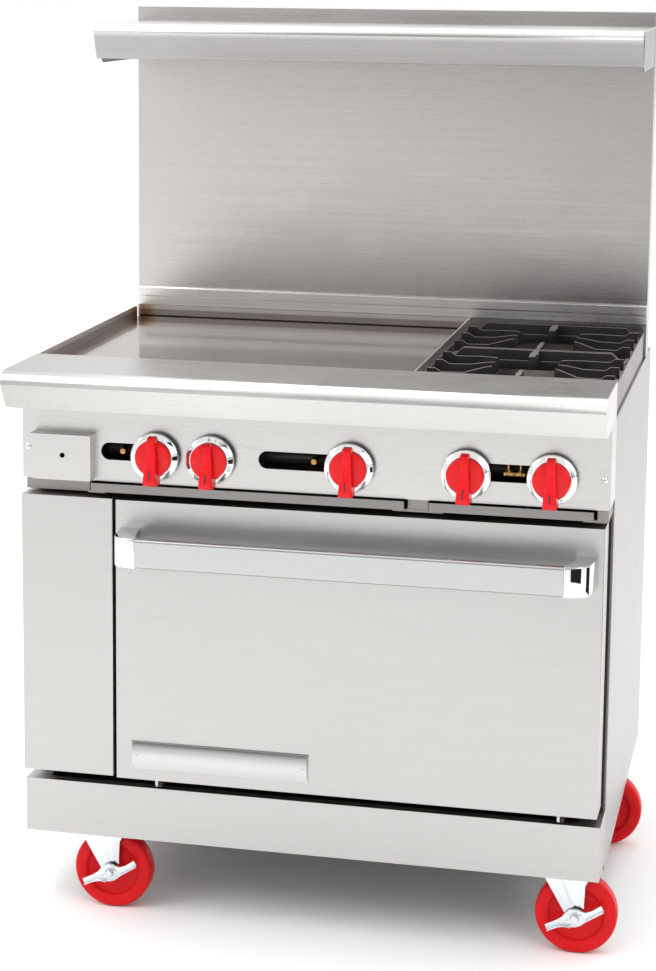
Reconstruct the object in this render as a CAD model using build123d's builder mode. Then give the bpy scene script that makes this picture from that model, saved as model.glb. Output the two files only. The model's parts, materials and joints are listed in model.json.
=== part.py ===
"""Commercial gas range: griddle, two open burners, one oven, high shelf, on swivel casters.

Millimetres. +X is the cook's right, +Y runs to the rear, +Z is up, and the floor is Z = 0.
The origin is on the floor under the middle of the whole range.
"""

import os
from build123d import *

os.makedirs("parts", exist_ok=True)

# ---------------------------------------------------------------- driving dimensions
WIDTH = 914.4  # the 36 in size class
DEPTH = 863.6  # front of the bullnose to the end of the gas inlet
HALF = WIDTH / 2
OVERHANG = 183.0  # how far the bullnose stands ahead of the side panels
INLET_STUB = 12.6  # how far the gas inlet stands behind the rear panel
FRONT = OVERHANG - DEPTH / 2  # front edge of the side panels
REAR = DEPTH / 2 - INLET_STUB  # outside of the rear panel
SHEET = 1.5
GAP = 0.5  # play between pieces that only lie beside each other

# Heights above the floor
SKIRT_Z = 118.0
FRAME_Z = (150.0, 188.0)
KICK_Z = (131.0, 218.0)
DOOR_Z = (234.0, 683.0)
COVER_Z = (236.0, 684.0)
TRAY_Z = (694.0, 707.5)
PANEL_Z = (709.0, 832.5)
FLANGE_TOP = 786.0  # top of the side panels' front flanges
BODY_TOP = 834.5
PLATE_TOP = 873.5
LEDGE_TOP = 893.2
TRIM_Z = (893.6, 926.8)
GUARD_TOP = 1428.4
SHELF_TOP = 1404.0

# Depths, as places along Y
DOOR_FACE = FRONT - 91.4
PANEL_FACE = FRONT - 83.0
LEDGE_BACK = FRONT - 11.6
GUARD_FACE = FRONT + 550.0
GUARD_DEPTH = 50.0
SHELF_FRONT = FRONT + 303.5

# Places along X
SPLIT_X = (-309.0, -304.0)  # right edge of the cover, left edge of the door
DOOR_X = (SPLIT_X[1], 452.0)
DIVIDER_X = 150.0  # between the griddle and the open burners
KNOB_X = (-240.0, -152.0, 65.0, 243.0, 372.0)
KNOB_Z = 754.0
STEM_X = 372.0  # swivel axes of the casters
STEM_Y = (FRONT - 36.0, FRONT + 427.0)


# ---------------------------------------------------------------- helpers
def span(a, b):
    """Two numbers in rising order."""
    return (min(a, b), max(a, b))


def mid(pair):
    return sum(pair) / 2


def block(x, y, z, mode=Mode.ADD):
    """A box over three (low, high) spans, in the builder that is open."""
    with Locations((mid(x), mid(y), mid(z))):
        Box(x[1] - x[0], y[1] - y[0], z[1] - z[0], mode=mode)


def pan(x, y, z, open_sides, wall=SHEET):
    """A folded sheet box over three spans, without the sides named in open_sides."""
    block(x, y, z)
    inside = []
    for (low, high), axis in zip((x, y, z), "xyz"):
        start = low - wall if "-" + axis in open_sides else low + wall
        end = high + wall if "+" + axis in open_sides else high - wall
        inside.append((start, end))
    block(*inside, mode=Mode.SUBTRACT)


def rod(start, direction, length, radius, mode=Mode.ADD):
    """A round bar from a point along a direction."""
    with Locations(Plane(origin=start, z_dir=direction)):
        Cylinder(radius, length, align=(Align.CENTER, Align.CENTER, Align.MIN), mode=mode)


def save(piece, node):
    """Labels a finished piece and writes it as one node."""
    piece.part.label = node
    export_step(piece.part, f"parts/{node}.step")


# ---------------------------------------------------------------- base frame and body
RAIL = 42.0
FRAME_X = (-HALF + 8, HALF - 8)
FRAME_Y = (FRONT - 79.0, REAR - 4)
CASTER_PLATE = (100.0, 82.0)
PLATE_THICK = 4.0
WALL = 3.0
BOLT_GRID = (74.0, 58.0)
BOLT_HEAD_R = 6.0
BOLT_HEAD = 3.0
KINGPIN_R = 9.0
KINGPIN_LENGTH = 9.0

with BuildPart() as base_frame:
    for side in (-1, 1):
        rail_x = span(side * FRAME_X[1], side * (FRAME_X[1] - RAIL))
        pan(rail_x, FRAME_Y, FRAME_Z, ("+z",), wall=WALL)
    for rail_y in (
        (FRAME_Y[0], STEM_Y[0] + RAIL),
        (STEM_Y[1] - RAIL, STEM_Y[1] + RAIL),
        (FRAME_Y[1] - RAIL, FRAME_Y[1]),
    ):
        pan(FRAME_X, rail_y, FRAME_Z, ("+z",), wall=WALL)
    plate_z = (FRAME_Z[0] - PLATE_THICK, FRAME_Z[0])
    for stem_x in (-STEM_X, STEM_X):
        for stem_y in STEM_Y:
            with Locations((stem_x, stem_y, mid(plate_z))):
                Box(*CASTER_PLATE, PLATE_THICK)
            rod((stem_x, stem_y, plate_z[0]), (0, 0, -1), KINGPIN_LENGTH, KINGPIN_R)
            with Locations((stem_x, stem_y, plate_z[0])):
                with GridLocations(*BOLT_GRID, 2, 2):
                    Cylinder(BOLT_HEAD_R, BOLT_HEAD, align=(Align.CENTER, Align.CENTER, Align.MAX))
save(base_frame, "base_frame")

FLANGE = 18.0
HEM = 3.6
for name, side in (("side_panel_left", -1), ("side_panel_right", 1)):
    with BuildPart() as side_panel:
        block(
            span(side * HALF, side * (HALF - SHEET)),
            (FRONT, REAR - SHEET - GAP),
            (SKIRT_Z, BODY_TOP),
        )
        flange_x = span(side * (HALF - SHEET), side * (HALF - FLANGE))
        block(flange_x, (FRONT, FRONT + SHEET), (FRAME_Z[1] + 2, FLANGE_TOP))
        hem_x = span(side * (HALF - SHEET), side * (HALF - HEM))
        block(hem_x, (FRONT, REAR - SHEET - GAP), (BODY_TOP - SHEET, BODY_TOP))
    save(side_panel, name)

INLET_X, INLET_Z = 424.0, 754.0
INLET_R = 13.335  # outside of 3/4 in pipe
LOUVER = (160.0, 8.0)
LOUVER_PITCH = (240.0, 22.0)
LOUVER_Z = 359.0  # middle of the group
with BuildPart() as rear_panel:
    block((-HALF, HALF), (REAR - SHEET, REAR), (SKIRT_Z, BODY_TOP))
    rod((INLET_X, REAR + 1, INLET_Z), (0, -1, 0), 4.0, INLET_R + 4, mode=Mode.SUBTRACT)
    with BuildSketch(Plane.XZ.offset(-REAR - 1)):
        with Locations((0, LOUVER_Z)):
            with GridLocations(*LOUVER_PITCH, 3, 6):
                Rectangle(*LOUVER)
    extrude(amount=SHEET + 2, mode=Mode.SUBTRACT)
save(rear_panel, "rear_panel")

with BuildPart() as kick_plate:
    pan((-HALF, HALF), (PANEL_FACE, FRONT - GAP), KICK_Z, ("+y", "-z"))
    block(
        (-HALF + 2 * FLANGE, HALF - 2 * FLANGE),
        (PANEL_FACE + FLANGE, FRONT),
        (KICK_Z[1] - SHEET - 1, KICK_Z[1] + 1),
        mode=Mode.SUBTRACT,
    )
save(kick_plate, "kick_plate")

with BuildPart() as compartment_cover:
    pan((-HALF, SPLIT_X[0]), (DOOR_FACE, FRONT - GAP), COVER_Z, ("+y",))
    fillet(compartment_cover.edges().filter_by(Axis.Z).group_by(Axis.Y)[0], radius=1.2)
save(compartment_cover, "compartment_cover")

# ---------------------------------------------------------------- oven
CAVITY_X = (-256.0, 404.0)
CAVITY_Y = (FRONT - 0.5, FRONT + 560.0)
CAVITY_Z = (252.0, 640.0)
FACE_X = (-305.0, HALF - 2.0)
FACE_Y = (FRONT - 18.0, FRONT - 0.5)
FACE_Z = (222.0, 686.0)
FACE_WALL = 2.0
POST_X = 439.0  # inner edge of the corner posts that carry the tray rails
HINGE_X = (-238.0, 394.0)
HINGE_Y = DOOR_FACE + 5.4
HINGE_Z = 228.0
HINGE_PIN_R = 3.0
HINGE_FIT = 0.05
PIN_LENGTH = 8.0

with BuildPart() as oven_front_frame:
    block(FACE_X, FACE_Y, FACE_Z)
    block(CAVITY_X, (FACE_Y[0] - 1, FACE_Y[1] + 1), CAVITY_Z, mode=Mode.SUBTRACT)
    ring_y = (FACE_Y[0] + FACE_WALL, FACE_Y[1] + 1)
    ring_x = (FACE_X[0] + FACE_WALL, FACE_X[1] - FACE_WALL)
    ring_z = (FACE_Z[0] + FACE_WALL, FACE_Z[1] - FACE_WALL)
    for side_x in ((ring_x[0], CAVITY_X[0] - FACE_WALL), (CAVITY_X[1] + FACE_WALL, ring_x[1])):
        block(side_x, ring_y, ring_z, mode=Mode.SUBTRACT)
    for end_z in ((ring_z[0], CAVITY_Z[0] - FACE_WALL), (CAVITY_Z[1] + FACE_WALL, ring_z[1])):
        block(ring_x, ring_y, end_z, mode=Mode.SUBTRACT)
    for hinge_x in HINGE_X:
        arm_x = (hinge_x + 4.0, hinge_x + 8.0)
        block(arm_x, (HINGE_Y, FACE_Y[0]), (HINGE_Z - 5.0, HINGE_Z + 5.0))
        rod((arm_x[0], HINGE_Y, HINGE_Z), (1, 0, 0), 4.0, 5.0)
        rod((arm_x[0] + 1, HINGE_Y, HINGE_Z), (-1, 0, 0), PIN_LENGTH + 1, HINGE_PIN_R)
save(oven_front_frame, "oven_front_frame")

with BuildPart() as oven_liner:
    liner_x = (CAVITY_X[0] - SHEET, CAVITY_X[1] + SHEET)
    liner_z = (CAVITY_Z[0] - SHEET, CAVITY_Z[1] + SHEET)
    pan(liner_x, CAVITY_Y, liner_z, ("-y",))
save(oven_liner, "oven_liner")

WOOL = 25.0
with BuildPart() as oven_insulation:
    block(
        (liner_x[0] - WOOL, liner_x[1] + WOOL),
        (FRONT + 1.0, CAVITY_Y[1] + WOOL),
        (liner_z[0] - WOOL, liner_z[1] + WOOL),
    )
    block(liner_x, (FRONT, CAVITY_Y[1]), liner_z, mode=Mode.SUBTRACT)
save(oven_insulation, "oven_insulation")

DECK_Z = 288.0
with BuildPart() as oven_deck:
    deck_x = (CAVITY_X[0] + 1, CAVITY_X[1] - 1)
    deck_y = (CAVITY_Y[0] + 6, CAVITY_Y[1] - 6)
    pan(deck_x, deck_y, (DECK_Z - 34.0, DECK_Z), ("-z", "-y", "+y"))
    for column in range(9):
        slot_x = mid(deck_x) + (column - 4) * 66.0
        for slot_y in (deck_y[0] + 14, deck_y[1] - 30):
            slot = ((slot_x - 18, slot_x + 18), (slot_y, slot_y + 12), (DECK_Z - 3, DECK_Z + 1))
            block(*slot, mode=Mode.SUBTRACT)
save(oven_deck, "oven_deck")

# Wire guides that hold the oven rack at three heights
WIRE_R = 3.0
SHELF_STEPS = (356.0, 440.0, 524.0)
GUIDE_Y = (FRONT + 20.0, FRONT + 540.0)
UPRIGHTS_Y = tuple(FRONT + 25.0 + 127.5 * upright for upright in range(5))
with BuildPart() as rack_guides:
    for side in (-1, 1):
        wall_x = CAVITY_X[0] if side < 0 else CAVITY_X[1]
        wire_x = wall_x - side * (WIRE_R + 0.3)
        for guide_y in UPRIGHTS_Y:
            rod((wire_x, guide_y, DECK_Z), (0, 0, 1), 320.0, WIRE_R)
        for step in SHELF_STEPS:
            rung_x = wire_x - side * 7.0
            rod((rung_x, GUIDE_Y[0], step), (0, 1, 0), GUIDE_Y[1] - GUIDE_Y[0], WIRE_R)
            for guide_y in UPRIGHTS_Y:
                rod((wire_x, guide_y, step), (-side, 0, 0), 7.0, WIRE_R * 0.9)
save(rack_guides, "rack_guides")

RACK_X = (CAVITY_X[0] + 8.5, CAVITY_X[1] - 8.5)
RACK_Y = (CAVITY_Y[0] + 22.0, CAVITY_Y[1] - 6.0)
RACK_Z = SHELF_STEPS[1] + 10.2
RACK_WIRES = 22
with BuildPart() as oven_rack:
    for rack_y in (RACK_Y[0] + 5, mid(RACK_Y), RACK_Y[1] - 5):
        rod((RACK_X[0], rack_y, RACK_Z - 4), (1, 0, 0), RACK_X[1] - RACK_X[0], WIRE_R)
    for wire in range(RACK_WIRES):
        wire_x = RACK_X[0] + 4 + wire * (RACK_X[1] - RACK_X[0] - 8) / (RACK_WIRES - 1)
        rod((wire_x, RACK_Y[0], RACK_Z), (0, 1, 0), RACK_Y[1] - RACK_Y[0], WIRE_R * 0.8)
save(oven_rack, "oven_rack")

TUBE_R = 12.0
OVEN_TUBE_Z = 270.0
GRIDDLE_TUBE_Z = 812.0
GRIDDLE_TUBE_X = (-300.0, 0.0)
with BuildPart() as tube_burners:
    for tube_x in (CAVITY_X[0] + 170, CAVITY_X[1] - 170):
        rod((tube_x, CAVITY_Y[0] + 60, OVEN_TUBE_Z), (0, 1, 0), 430.0, TUBE_R)
    rod((CAVITY_X[0] + 170, CAVITY_Y[0] + 300, OVEN_TUBE_Z), (1, 0, 0), 320.0, TUBE_R - 1)
    for burner_x in GRIDDLE_TUBE_X:
        for leg in (-62.0, 62.0):
            rod((burner_x + leg, FRONT + 30, GRIDDLE_TUBE_Z), (0, 1, 0), 470.0, TUBE_R)
        rod((burner_x - 62, FRONT + 42, GRIDDLE_TUBE_Z), (1, 0, 0), 124.0, TUBE_R - 1)
save(tube_burners, "tube_burners")

# ---------------------------------------------------------------- oven door
DOOR_Y = (DOOR_FACE, FRONT - 31.0)
LINER_BACK = FRONT - 20.0
with BuildPart() as door_skin:
    pan(DOOR_X, DOOR_Y, DOOR_Z, ("+y",))
    fillet(door_skin.edges().filter_by(Axis.Z).group_by(Axis.Y)[0], radius=1.2)
save(door_skin, "door_skin")

with BuildPart() as door_liner:
    edge_x = (DOOR_X[0] + 2, DOOR_X[1] - 2)
    edge_z = (DOOR_Z[0] + 2, DOOR_Z[1] - 2)
    block(edge_x, (DOOR_Y[1], DOOR_Y[1] + SHEET), edge_z)
    plug_x = (CAVITY_X[0] - 12, CAVITY_X[1] + 12)
    plug_z = (DOOR_Z[0] + 10, CAVITY_Z[1] + 12)
    pan(plug_x, (DOOR_Y[1], LINER_BACK), plug_z, ("-y",))
    block(
        (plug_x[0] + SHEET, plug_x[1] - SHEET),
        (DOOR_Y[1] - 1, LINER_BACK - SHEET),
        (plug_z[0] + SHEET, plug_z[1] - SHEET),
        mode=Mode.SUBTRACT,
    )
    for hinge_x in HINGE_X:
        tab_x = (hinge_x - 2.0, hinge_x + 2.0)
        rod((tab_x[0], HINGE_Y, HINGE_Z), (1, 0, 0), 4.0, 5.2)
        block(tab_x, (HINGE_Y - 5.2, HINGE_Y + 14.0), (HINGE_Z, DOOR_Z[0]))
        rod((tab_x[0] - 1, HINGE_Y, HINGE_Z), (1, 0, 0), 6.0, HINGE_PIN_R + HINGE_FIT, mode=Mode.SUBTRACT)
save(door_liner, "door_liner")

with BuildPart() as door_insulation:
    block(
        (DOOR_X[0] + SHEET, DOOR_X[1] - SHEET),
        (DOOR_Y[0] + SHEET, DOOR_Y[1]),
        (DOOR_Z[0] + SHEET, DOOR_Z[1] - SHEET),
    )
save(door_insulation, "door_insulation")

HANDLE_Z = (594.5, 640.5)
HANDLE_FACE = DOOR_FACE - 72.0
BAR_THICK = 15.0
BAR_X = (-252.0, 400.0)
END_REACH = 36.0
with BuildPart() as handle_bar:
    block(BAR_X, (HANDLE_FACE, HANDLE_FACE + BAR_THICK), HANDLE_Z)
    fillet(handle_bar.edges().filter_by(Axis.X), radius=5.0)
save(handle_bar, "handle_bar")

with BuildPart() as handle_ends:
    for inner, side in ((BAR_X[0], -1), (BAR_X[1], 1)):
        with BuildSketch(Plane.XY.offset(HANDLE_Z[0])):
            with BuildLine():
                tip = (inner + side * (END_REACH - 14), HANDLE_FACE)
                corner = (inner + side * END_REACH, HANDLE_FACE + 16)
                foot = (inner + side * (END_REACH + 8), DOOR_FACE)
                Line((inner, HANDLE_FACE), tip)
                TangentArc(tip, corner, tangent=(side, 0))
                Line(corner, foot)
                Line(foot, (inner + side * 10, DOOR_FACE))
                Line((inner + side * 10, DOOR_FACE), (inner, HANDLE_FACE + BAR_THICK))
                Line((inner, HANDLE_FACE + BAR_THICK), (inner, HANDLE_FACE))
            make_face()
        extrude(amount=HANDLE_Z[1] - HANDLE_Z[0])
save(handle_ends, "handle_ends")

PLATE_X = (-278.5, 6.2)
PLATE_Z = (250.0, 297.5)
with BuildPart() as name_plate:
    with BuildSketch(Plane.XZ.offset(-DOOR_FACE)):
        with Locations((mid(PLATE_X), mid(PLATE_Z))):
            RectangleRounded(PLATE_X[1] - PLATE_X[0], PLATE_Z[1] - PLATE_Z[0], 4.0)
    extrude(amount=4.0)
    fillet(name_plate.faces().sort_by(Axis.Y)[0].edges(), radius=2.5)
save(name_plate, "name_plate")


# ---------------------------------------------------------------- control panel
SLOT_Z = (744.0, 771.0)
SLOTS_X = ((-329.0, KNOB_X[0] + 12), (-78.0, KNOB_X[2] + 12), (KNOB_X[3] - 12, KNOB_X[4] + 12))
DRAWER_X = (-435.0, -340.5)
DRAWER_Z = (712.0, 785.0)
with BuildPart() as control_panel:
    pan((-HALF, HALF), (PANEL_FACE, FRONT - GAP), PANEL_Z, ("+y", "-z", "+z"))
    block(
        (-HALF + SHEET, HALF - SHEET),
        (PANEL_FACE + SHEET, PANEL_FACE + FLANGE),
        (PANEL_Z[1] - SHEET, PANEL_Z[1]),
    )
    with BuildSketch(Plane.XZ.offset(-PANEL_FACE + 1)):
        for slot in SLOTS_X:
            with Locations((mid(slot), mid(SLOT_Z))):
                SlotOverall(slot[1] - slot[0], SLOT_Z[1] - SLOT_Z[0])
        with Locations((KNOB_X[1], KNOB_Z)):
            Circle(12.0)
    extrude(amount=-SHEET - 2, mode=Mode.SUBTRACT)
    block(
        (DRAWER_X[0] + 3, DRAWER_X[1] - 3),
        (PANEL_FACE - 1, PANEL_FACE + SHEET + 1),
        (DRAWER_Z[0] + 1, DRAWER_Z[1] - 4),
        mode=Mode.SUBTRACT,
    )
save(control_panel, "control_panel")

# Landing ledge with a rolled bullnose front and flat end caps
ROLL_R = 20.0
LIP_BACK = FRONT - 158.0
LEDGE_BOTTOM = 833.2
with BuildPart() as landing_ledge:
    for section in ("shell", "left_cap", "right_cap"):
        start = {"shell": -HALF + SHEET, "left_cap": -HALF, "right_cap": HALF - SHEET}[section]
        length = WIDTH - 2 * SHEET if section == "shell" else SHEET
        with BuildSketch(Plane.YZ.offset(start)):
            with BuildLine():
                roll_top = (FRONT - OVERHANG + ROLL_R, LEDGE_TOP)
                roll_front = (FRONT - OVERHANG, LEDGE_TOP - ROLL_R)
                Line((LEDGE_BACK, LEDGE_TOP), roll_top)
                RadiusArc(roll_top, roll_front, -ROLL_R)
                Line(roll_front, (LIP_BACK, LEDGE_BOTTOM))
                Line((LIP_BACK, LEDGE_BOTTOM), (LEDGE_BACK, LEDGE_BOTTOM))
                Line((LEDGE_BACK, LEDGE_BOTTOM), (LEDGE_BACK, LEDGE_TOP))
            make_face()
            if section == "shell":
                offset(amount=-SHEET, kind=Kind.INTERSECTION, mode=Mode.SUBTRACT)
        extrude(amount=length)
    block(
        (-HALF + SHEET, HALF - SHEET),
        (PANEL_FACE + SHEET, LEDGE_BACK + 1),
        (LEDGE_BOTTOM - 1, LEDGE_TOP - 12),
        mode=Mode.SUBTRACT,
    )
save(landing_ledge, "landing_ledge")

# ---------------------------------------------------------------- griddle
GRIDDLE_X = (-HALF + 4.0, DIVIDER_X - 2.0)
GRIDDLE_Y = (LEDGE_BACK + 1.0, GUARD_FACE - 7.0)
PLATE_BOTTOM = PLATE_TOP - 19.0
with BuildPart() as griddle_plate:
    block(GRIDDLE_X, GRIDDLE_Y, (PLATE_BOTTOM, PLATE_TOP))
save(griddle_plate, "griddle_plate")

SPLASH = 3.0
WELD_GAP = 16.0
TROUGH_Y = (LEDGE_BACK - 42.0, LEDGE_BACK)
TROUGH_WALL = 2.0
CHUTE_X = (-416.0, -364.0)  # drops the grease into the drawer
CHUTE_BOTTOM = 796.0
with BuildPart() as griddle_splash:
    left_y = (LEDGE_BACK + 0.5, GRIDDLE_Y[1] - WELD_GAP)
    block((GRIDDLE_X[0] - SPLASH, GRIDDLE_X[0]), left_y, (BODY_TOP + 0.5, LEDGE_TOP + 0.3))
    fillet(griddle_splash.edges().filter_by(Axis.X).group_by(Axis.Y)[-1], radius=6.0)
    block((GRIDDLE_X[1], GRIDDLE_X[1] + SPLASH), GRIDDLE_Y, (PLATE_BOTTOM, LEDGE_TOP))
    back_x = (GRIDDLE_X[0] - SPLASH, GRIDDLE_X[1] + SPLASH)
    block(back_x, (GRIDDLE_Y[1], GRIDDLE_Y[1] + SPLASH), (BODY_TOP + 0.5, LEDGE_TOP))
    low_y = (left_y[1] - 1, GRIDDLE_Y[1] + 1)
    block((GRIDDLE_X[0] - SPLASH, GRIDDLE_X[0]), low_y, (BODY_TOP + 0.5, PLATE_TOP - 4))
    pan(GRIDDLE_X, TROUGH_Y, (PLATE_BOTTOM - 12, PLATE_TOP - 4), ("+z",), wall=TROUGH_WALL)
    chute_y = (TROUGH_Y[0] + 3, TROUGH_Y[1] - 3)
    block(CHUTE_X, chute_y, (CHUTE_BOTTOM, PLATE_BOTTOM - 10))
    inner_x = (CHUTE_X[0] + TROUGH_WALL, CHUTE_X[1] - TROUGH_WALL)
    inner_y = (chute_y[0] + TROUGH_WALL, chute_y[1] - TROUGH_WALL)
    block(inner_x, inner_y, (CHUTE_BOTTOM - 6, PLATE_BOTTOM - 6), mode=Mode.SUBTRACT)
save(griddle_splash, "griddle_splash")

# ---------------------------------------------------------------- open burners
BOX_X = (DIVIDER_X + 2.0, HALF - 4.0)
BOX_Y = (LEDGE_BACK + 1.0, GUARD_FACE - 7.0)
BOX_Z = (790.0, 880.0)
BOX_WALL = 2.0
PAN_Z = 838.0
SEAT_Z = 856.0
GRATE_SPLIT = mid(BOX_Y)
BURNER_X = mid(BOX_X)
BURNER_Y = (mid((BOX_Y[0], GRATE_SPLIT)), mid((GRATE_SPLIT, BOX_Y[1])))
WELL_R = 50.0
VENTURI = 118.0  # length of the burners' mixing tubes
with BuildPart() as burner_box:
    pan(BOX_X, BOX_Y, BOX_Z, ("+z", "-z"), wall=BOX_WALL)
    inner_x = (BOX_X[0] + BOX_WALL, BOX_X[1] - BOX_WALL)
    inner_y = (BOX_Y[0] + BOX_WALL, BOX_Y[1] - BOX_WALL)
    block(inner_x, inner_y, (PAN_Z, PAN_Z + 1.5))
    for burner_y in BURNER_Y:
        rod((BURNER_X, burner_y, PAN_Z - 2), (0, 0, 1), 6.0, WELL_R, mode=Mode.SUBTRACT)
    for seat_x in (span(inner_x[0], inner_x[0] + 9), span(inner_x[1], inner_x[1] - 9)):
        block(seat_x, inner_y, (SEAT_Z - 2, SEAT_Z))
save(burner_box, "burner_box")

HEAD_R = 46.0
HEAD_Z = (822.0, 846.0)
with BuildPart() as open_burners:
    for burner_y in BURNER_Y:
        rod((BURNER_X, burner_y, HEAD_Z[0]), (0, 0, 1), HEAD_Z[1] - HEAD_Z[0] - 6, HEAD_R)
        rod((BURNER_X, burner_y, HEAD_Z[1] - 6), (0, 0, 1), 6.0, HEAD_R - 4)
        block((BURNER_X - 11, BURNER_X + 11), (burner_y - VENTURI, burner_y), (800.0, HEAD_Z[0] + 2))
    block((BURNER_X - 8, BURNER_X + 8), (BURNER_Y[0], BURNER_Y[1] - VENTURI), (804.0, 812.0))
save(open_burners, "open_burners")

GRATE_TOP = 890.0
RIM = 9.0
RIM_Z = (SEAT_Z, SEAT_Z + 15.0)
BLADE = 5.0
GRATE_GAP = 2.0
FINGER_TIP = 48.0  # how far the finger tips stay from the burner's axis
ROOT_SPREAD = 76.0
TIP_SPREAD = 36.0
for index, name in enumerate(("grate_front", "grate_rear")):
    with BuildPart() as grate:
        grate_x = (BOX_X[0] + BOX_WALL + 1.5, BOX_X[1] - BOX_WALL - 1.5)
        edges_y = (BOX_Y[0] + BOX_WALL + 1.5, GRATE_SPLIT, BOX_Y[1] - BOX_WALL - 1.5)
        grate_y = (edges_y[index] + index * GRATE_GAP / 2, edges_y[index + 1] - (1 - index) * GRATE_GAP / 2)
        block(grate_x, grate_y, RIM_Z)
        block(
            (grate_x[0] + RIM, grate_x[1] - RIM),
            (grate_y[0] + RIM, grate_y[1] - RIM),
            (RIM_Z[0] - 1, RIM_Z[1] + 1),
            mode=Mode.SUBTRACT,
        )
        for bar_y in (grate_y[0] + BLADE / 2, grate_y[1] - BLADE / 2):
            blade_y = (bar_y - BLADE / 2, bar_y + BLADE / 2)
            block((grate_x[0] + 6, grate_x[1] - 6), blade_y, (RIM_Z[1] - 2, GRATE_TOP))
        burner_y = BURNER_Y[index]
        for end, side in ((grate_x[0], 1), (grate_x[1], -1)):
            reach = abs(BURNER_X - end) - FINGER_TIP
            for row in (-1, 0, 1):
                root = Vector(end, burner_y + row * ROOT_SPREAD, 0)
                tip = Vector(end + side * reach, burner_y + row * TIP_SPREAD, 0)
                along = (tip - root).normalized()
                length = (tip - root).length
                with BuildSketch(Plane(origin=root, x_dir=along, z_dir=along.cross(Vector(0, 0, 1)))):
                    with BuildLine():
                        Polyline(
                            (1, RIM_Z[0]),
                            (1, RIM_Z[1]),
                            (12, GRATE_TOP - 3),
                            (30, GRATE_TOP - 3),
                            (42, GRATE_TOP),
                            (length, GRATE_TOP),
                            (length - 3, GRATE_TOP - 22),
                            (24, RIM_Z[0]),
                            (1, RIM_Z[0]),
                        )
                    make_face()
                extrude(amount=BLADE / 2, both=True)
        for end, side in ((grate_y[0], 1), (grate_y[1], -1)):
            reach = abs(burner_y - end) - FINGER_TIP + 14
            block(
                (BURNER_X - BLADE, BURNER_X + BLADE),
                span(end, end + side * reach),
                (RIM_Z[1] - 2, GRATE_TOP),
            )
    save(grate, name)

# ---------------------------------------------------------------- trays, drawer and their rails
TRAY_BACK = FRONT + 500.0
LIP_FACE = PANEL_FACE - 9.0
RAIL_Z = (689.0, 693.0)
RAIL_Y = (FRONT - 78.0, TRAY_BACK + 10.0)
TRAYS = (("crumb_tray_left", (-344.0, 150.0)), ("crumb_tray_right", (187.0, 435.0)))
for name, tray_x in TRAYS:
    with BuildPart() as tray:
        pan(tray_x, (LIP_FACE, TRAY_BACK), TRAY_Z, ("+z",), wall=1.2)
        fillet(tray.edges().filter_by(Axis.Z).group_by(Axis.Y)[0], radius=1.0)
    save(tray, name)

RAILS_X = (
    (TRAYS[0][1][0] - 8, TRAYS[0][1][0] + 19),
    (TRAYS[0][1][1] - 20, TRAYS[1][1][0] + 20),
    (TRAYS[1][1][1] - 17, POST_X),
)
with BuildPart() as tray_rails:
    for rail_x in RAILS_X:
        block(rail_x, RAIL_Y, RAIL_Z)
    post_x = (TRAYS[0][1][1] + 3, TRAYS[1][1][0] - 3)
    block(post_x, (PANEL_FACE + 6, PANEL_FACE + 8), (RAIL_Z[0], PANEL_Z[0] - 1.0))
    corner_z = (RAIL_Z[0], PANEL_Z[0] - 1.5)
    block((POST_X, HALF - 2), (RAIL_Y[0], FRONT - 1.0), corner_z)
    block((-HALF + 2, RAILS_X[0][0]), (RAIL_Y[0] + 8, FRONT - 1.0), corner_z)
save(tray_rails, "tray_rails")

DRAWER_BACK = FRONT + 170.0
DRAWER_FACE = PANEL_FACE - 20.0
PULL_HOLE = (-386.0, 751.3)
PULL_HOLE_R = 4.0
with BuildPart() as grease_drawer:
    pan(DRAWER_X, (DRAWER_FACE, PANEL_FACE - 0.3), DRAWER_Z, ("+y",))
    lip_x = (DRAWER_X[0] - 2, DRAWER_X[1] + 2)
    block(lip_x, (DRAWER_FACE - 6, PANEL_FACE - 0.3), (DRAWER_Z[1] - 2, DRAWER_Z[1]))
    box_x = (DRAWER_X[0] + 5, DRAWER_X[1] - 5)
    pan(box_x, (DRAWER_FACE + SHEET, DRAWER_BACK), (DRAWER_Z[0] + 3, DRAWER_Z[1] - 8), ("+z",), wall=1.2)
    rod((PULL_HOLE[0], DRAWER_FACE - 2, PULL_HOLE[1]), (0, 1, 0), 6.0, PULL_HOLE_R, mode=Mode.SUBTRACT)
save(grease_drawer, "grease_drawer")

# ---------------------------------------------------------------- gas train
PIPE_R = 12.7
PIPE_Y = FRONT - 30.0
PIPE_END = -330.0  # capped end, under the griddle
VALVE_Y = (PIPE_Y - PIPE_R - 22.0, PIPE_Y - PIPE_R - 0.2)
STEM_R = 4.0
NIPPLE = 40.0
with BuildPart() as gas_manifold:
    rod((PIPE_END, PIPE_Y, KNOB_Z), (1, 0, 0), INLET_X - PIPE_END, PIPE_R)
    with Locations((INLET_X, PIPE_Y, KNOB_Z)):
        Sphere(PIPE_R + 2)
    run = REAR + INLET_STUB - PIPE_Y
    rod((INLET_X, PIPE_Y, KNOB_Z), (0, 1, 0), run - NIPPLE, PIPE_R)
    rod((INLET_X, REAR + INLET_STUB, INLET_Z), (0, -1, 0), NIPPLE, INLET_R)
save(gas_manifold, "gas_manifold")

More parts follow.
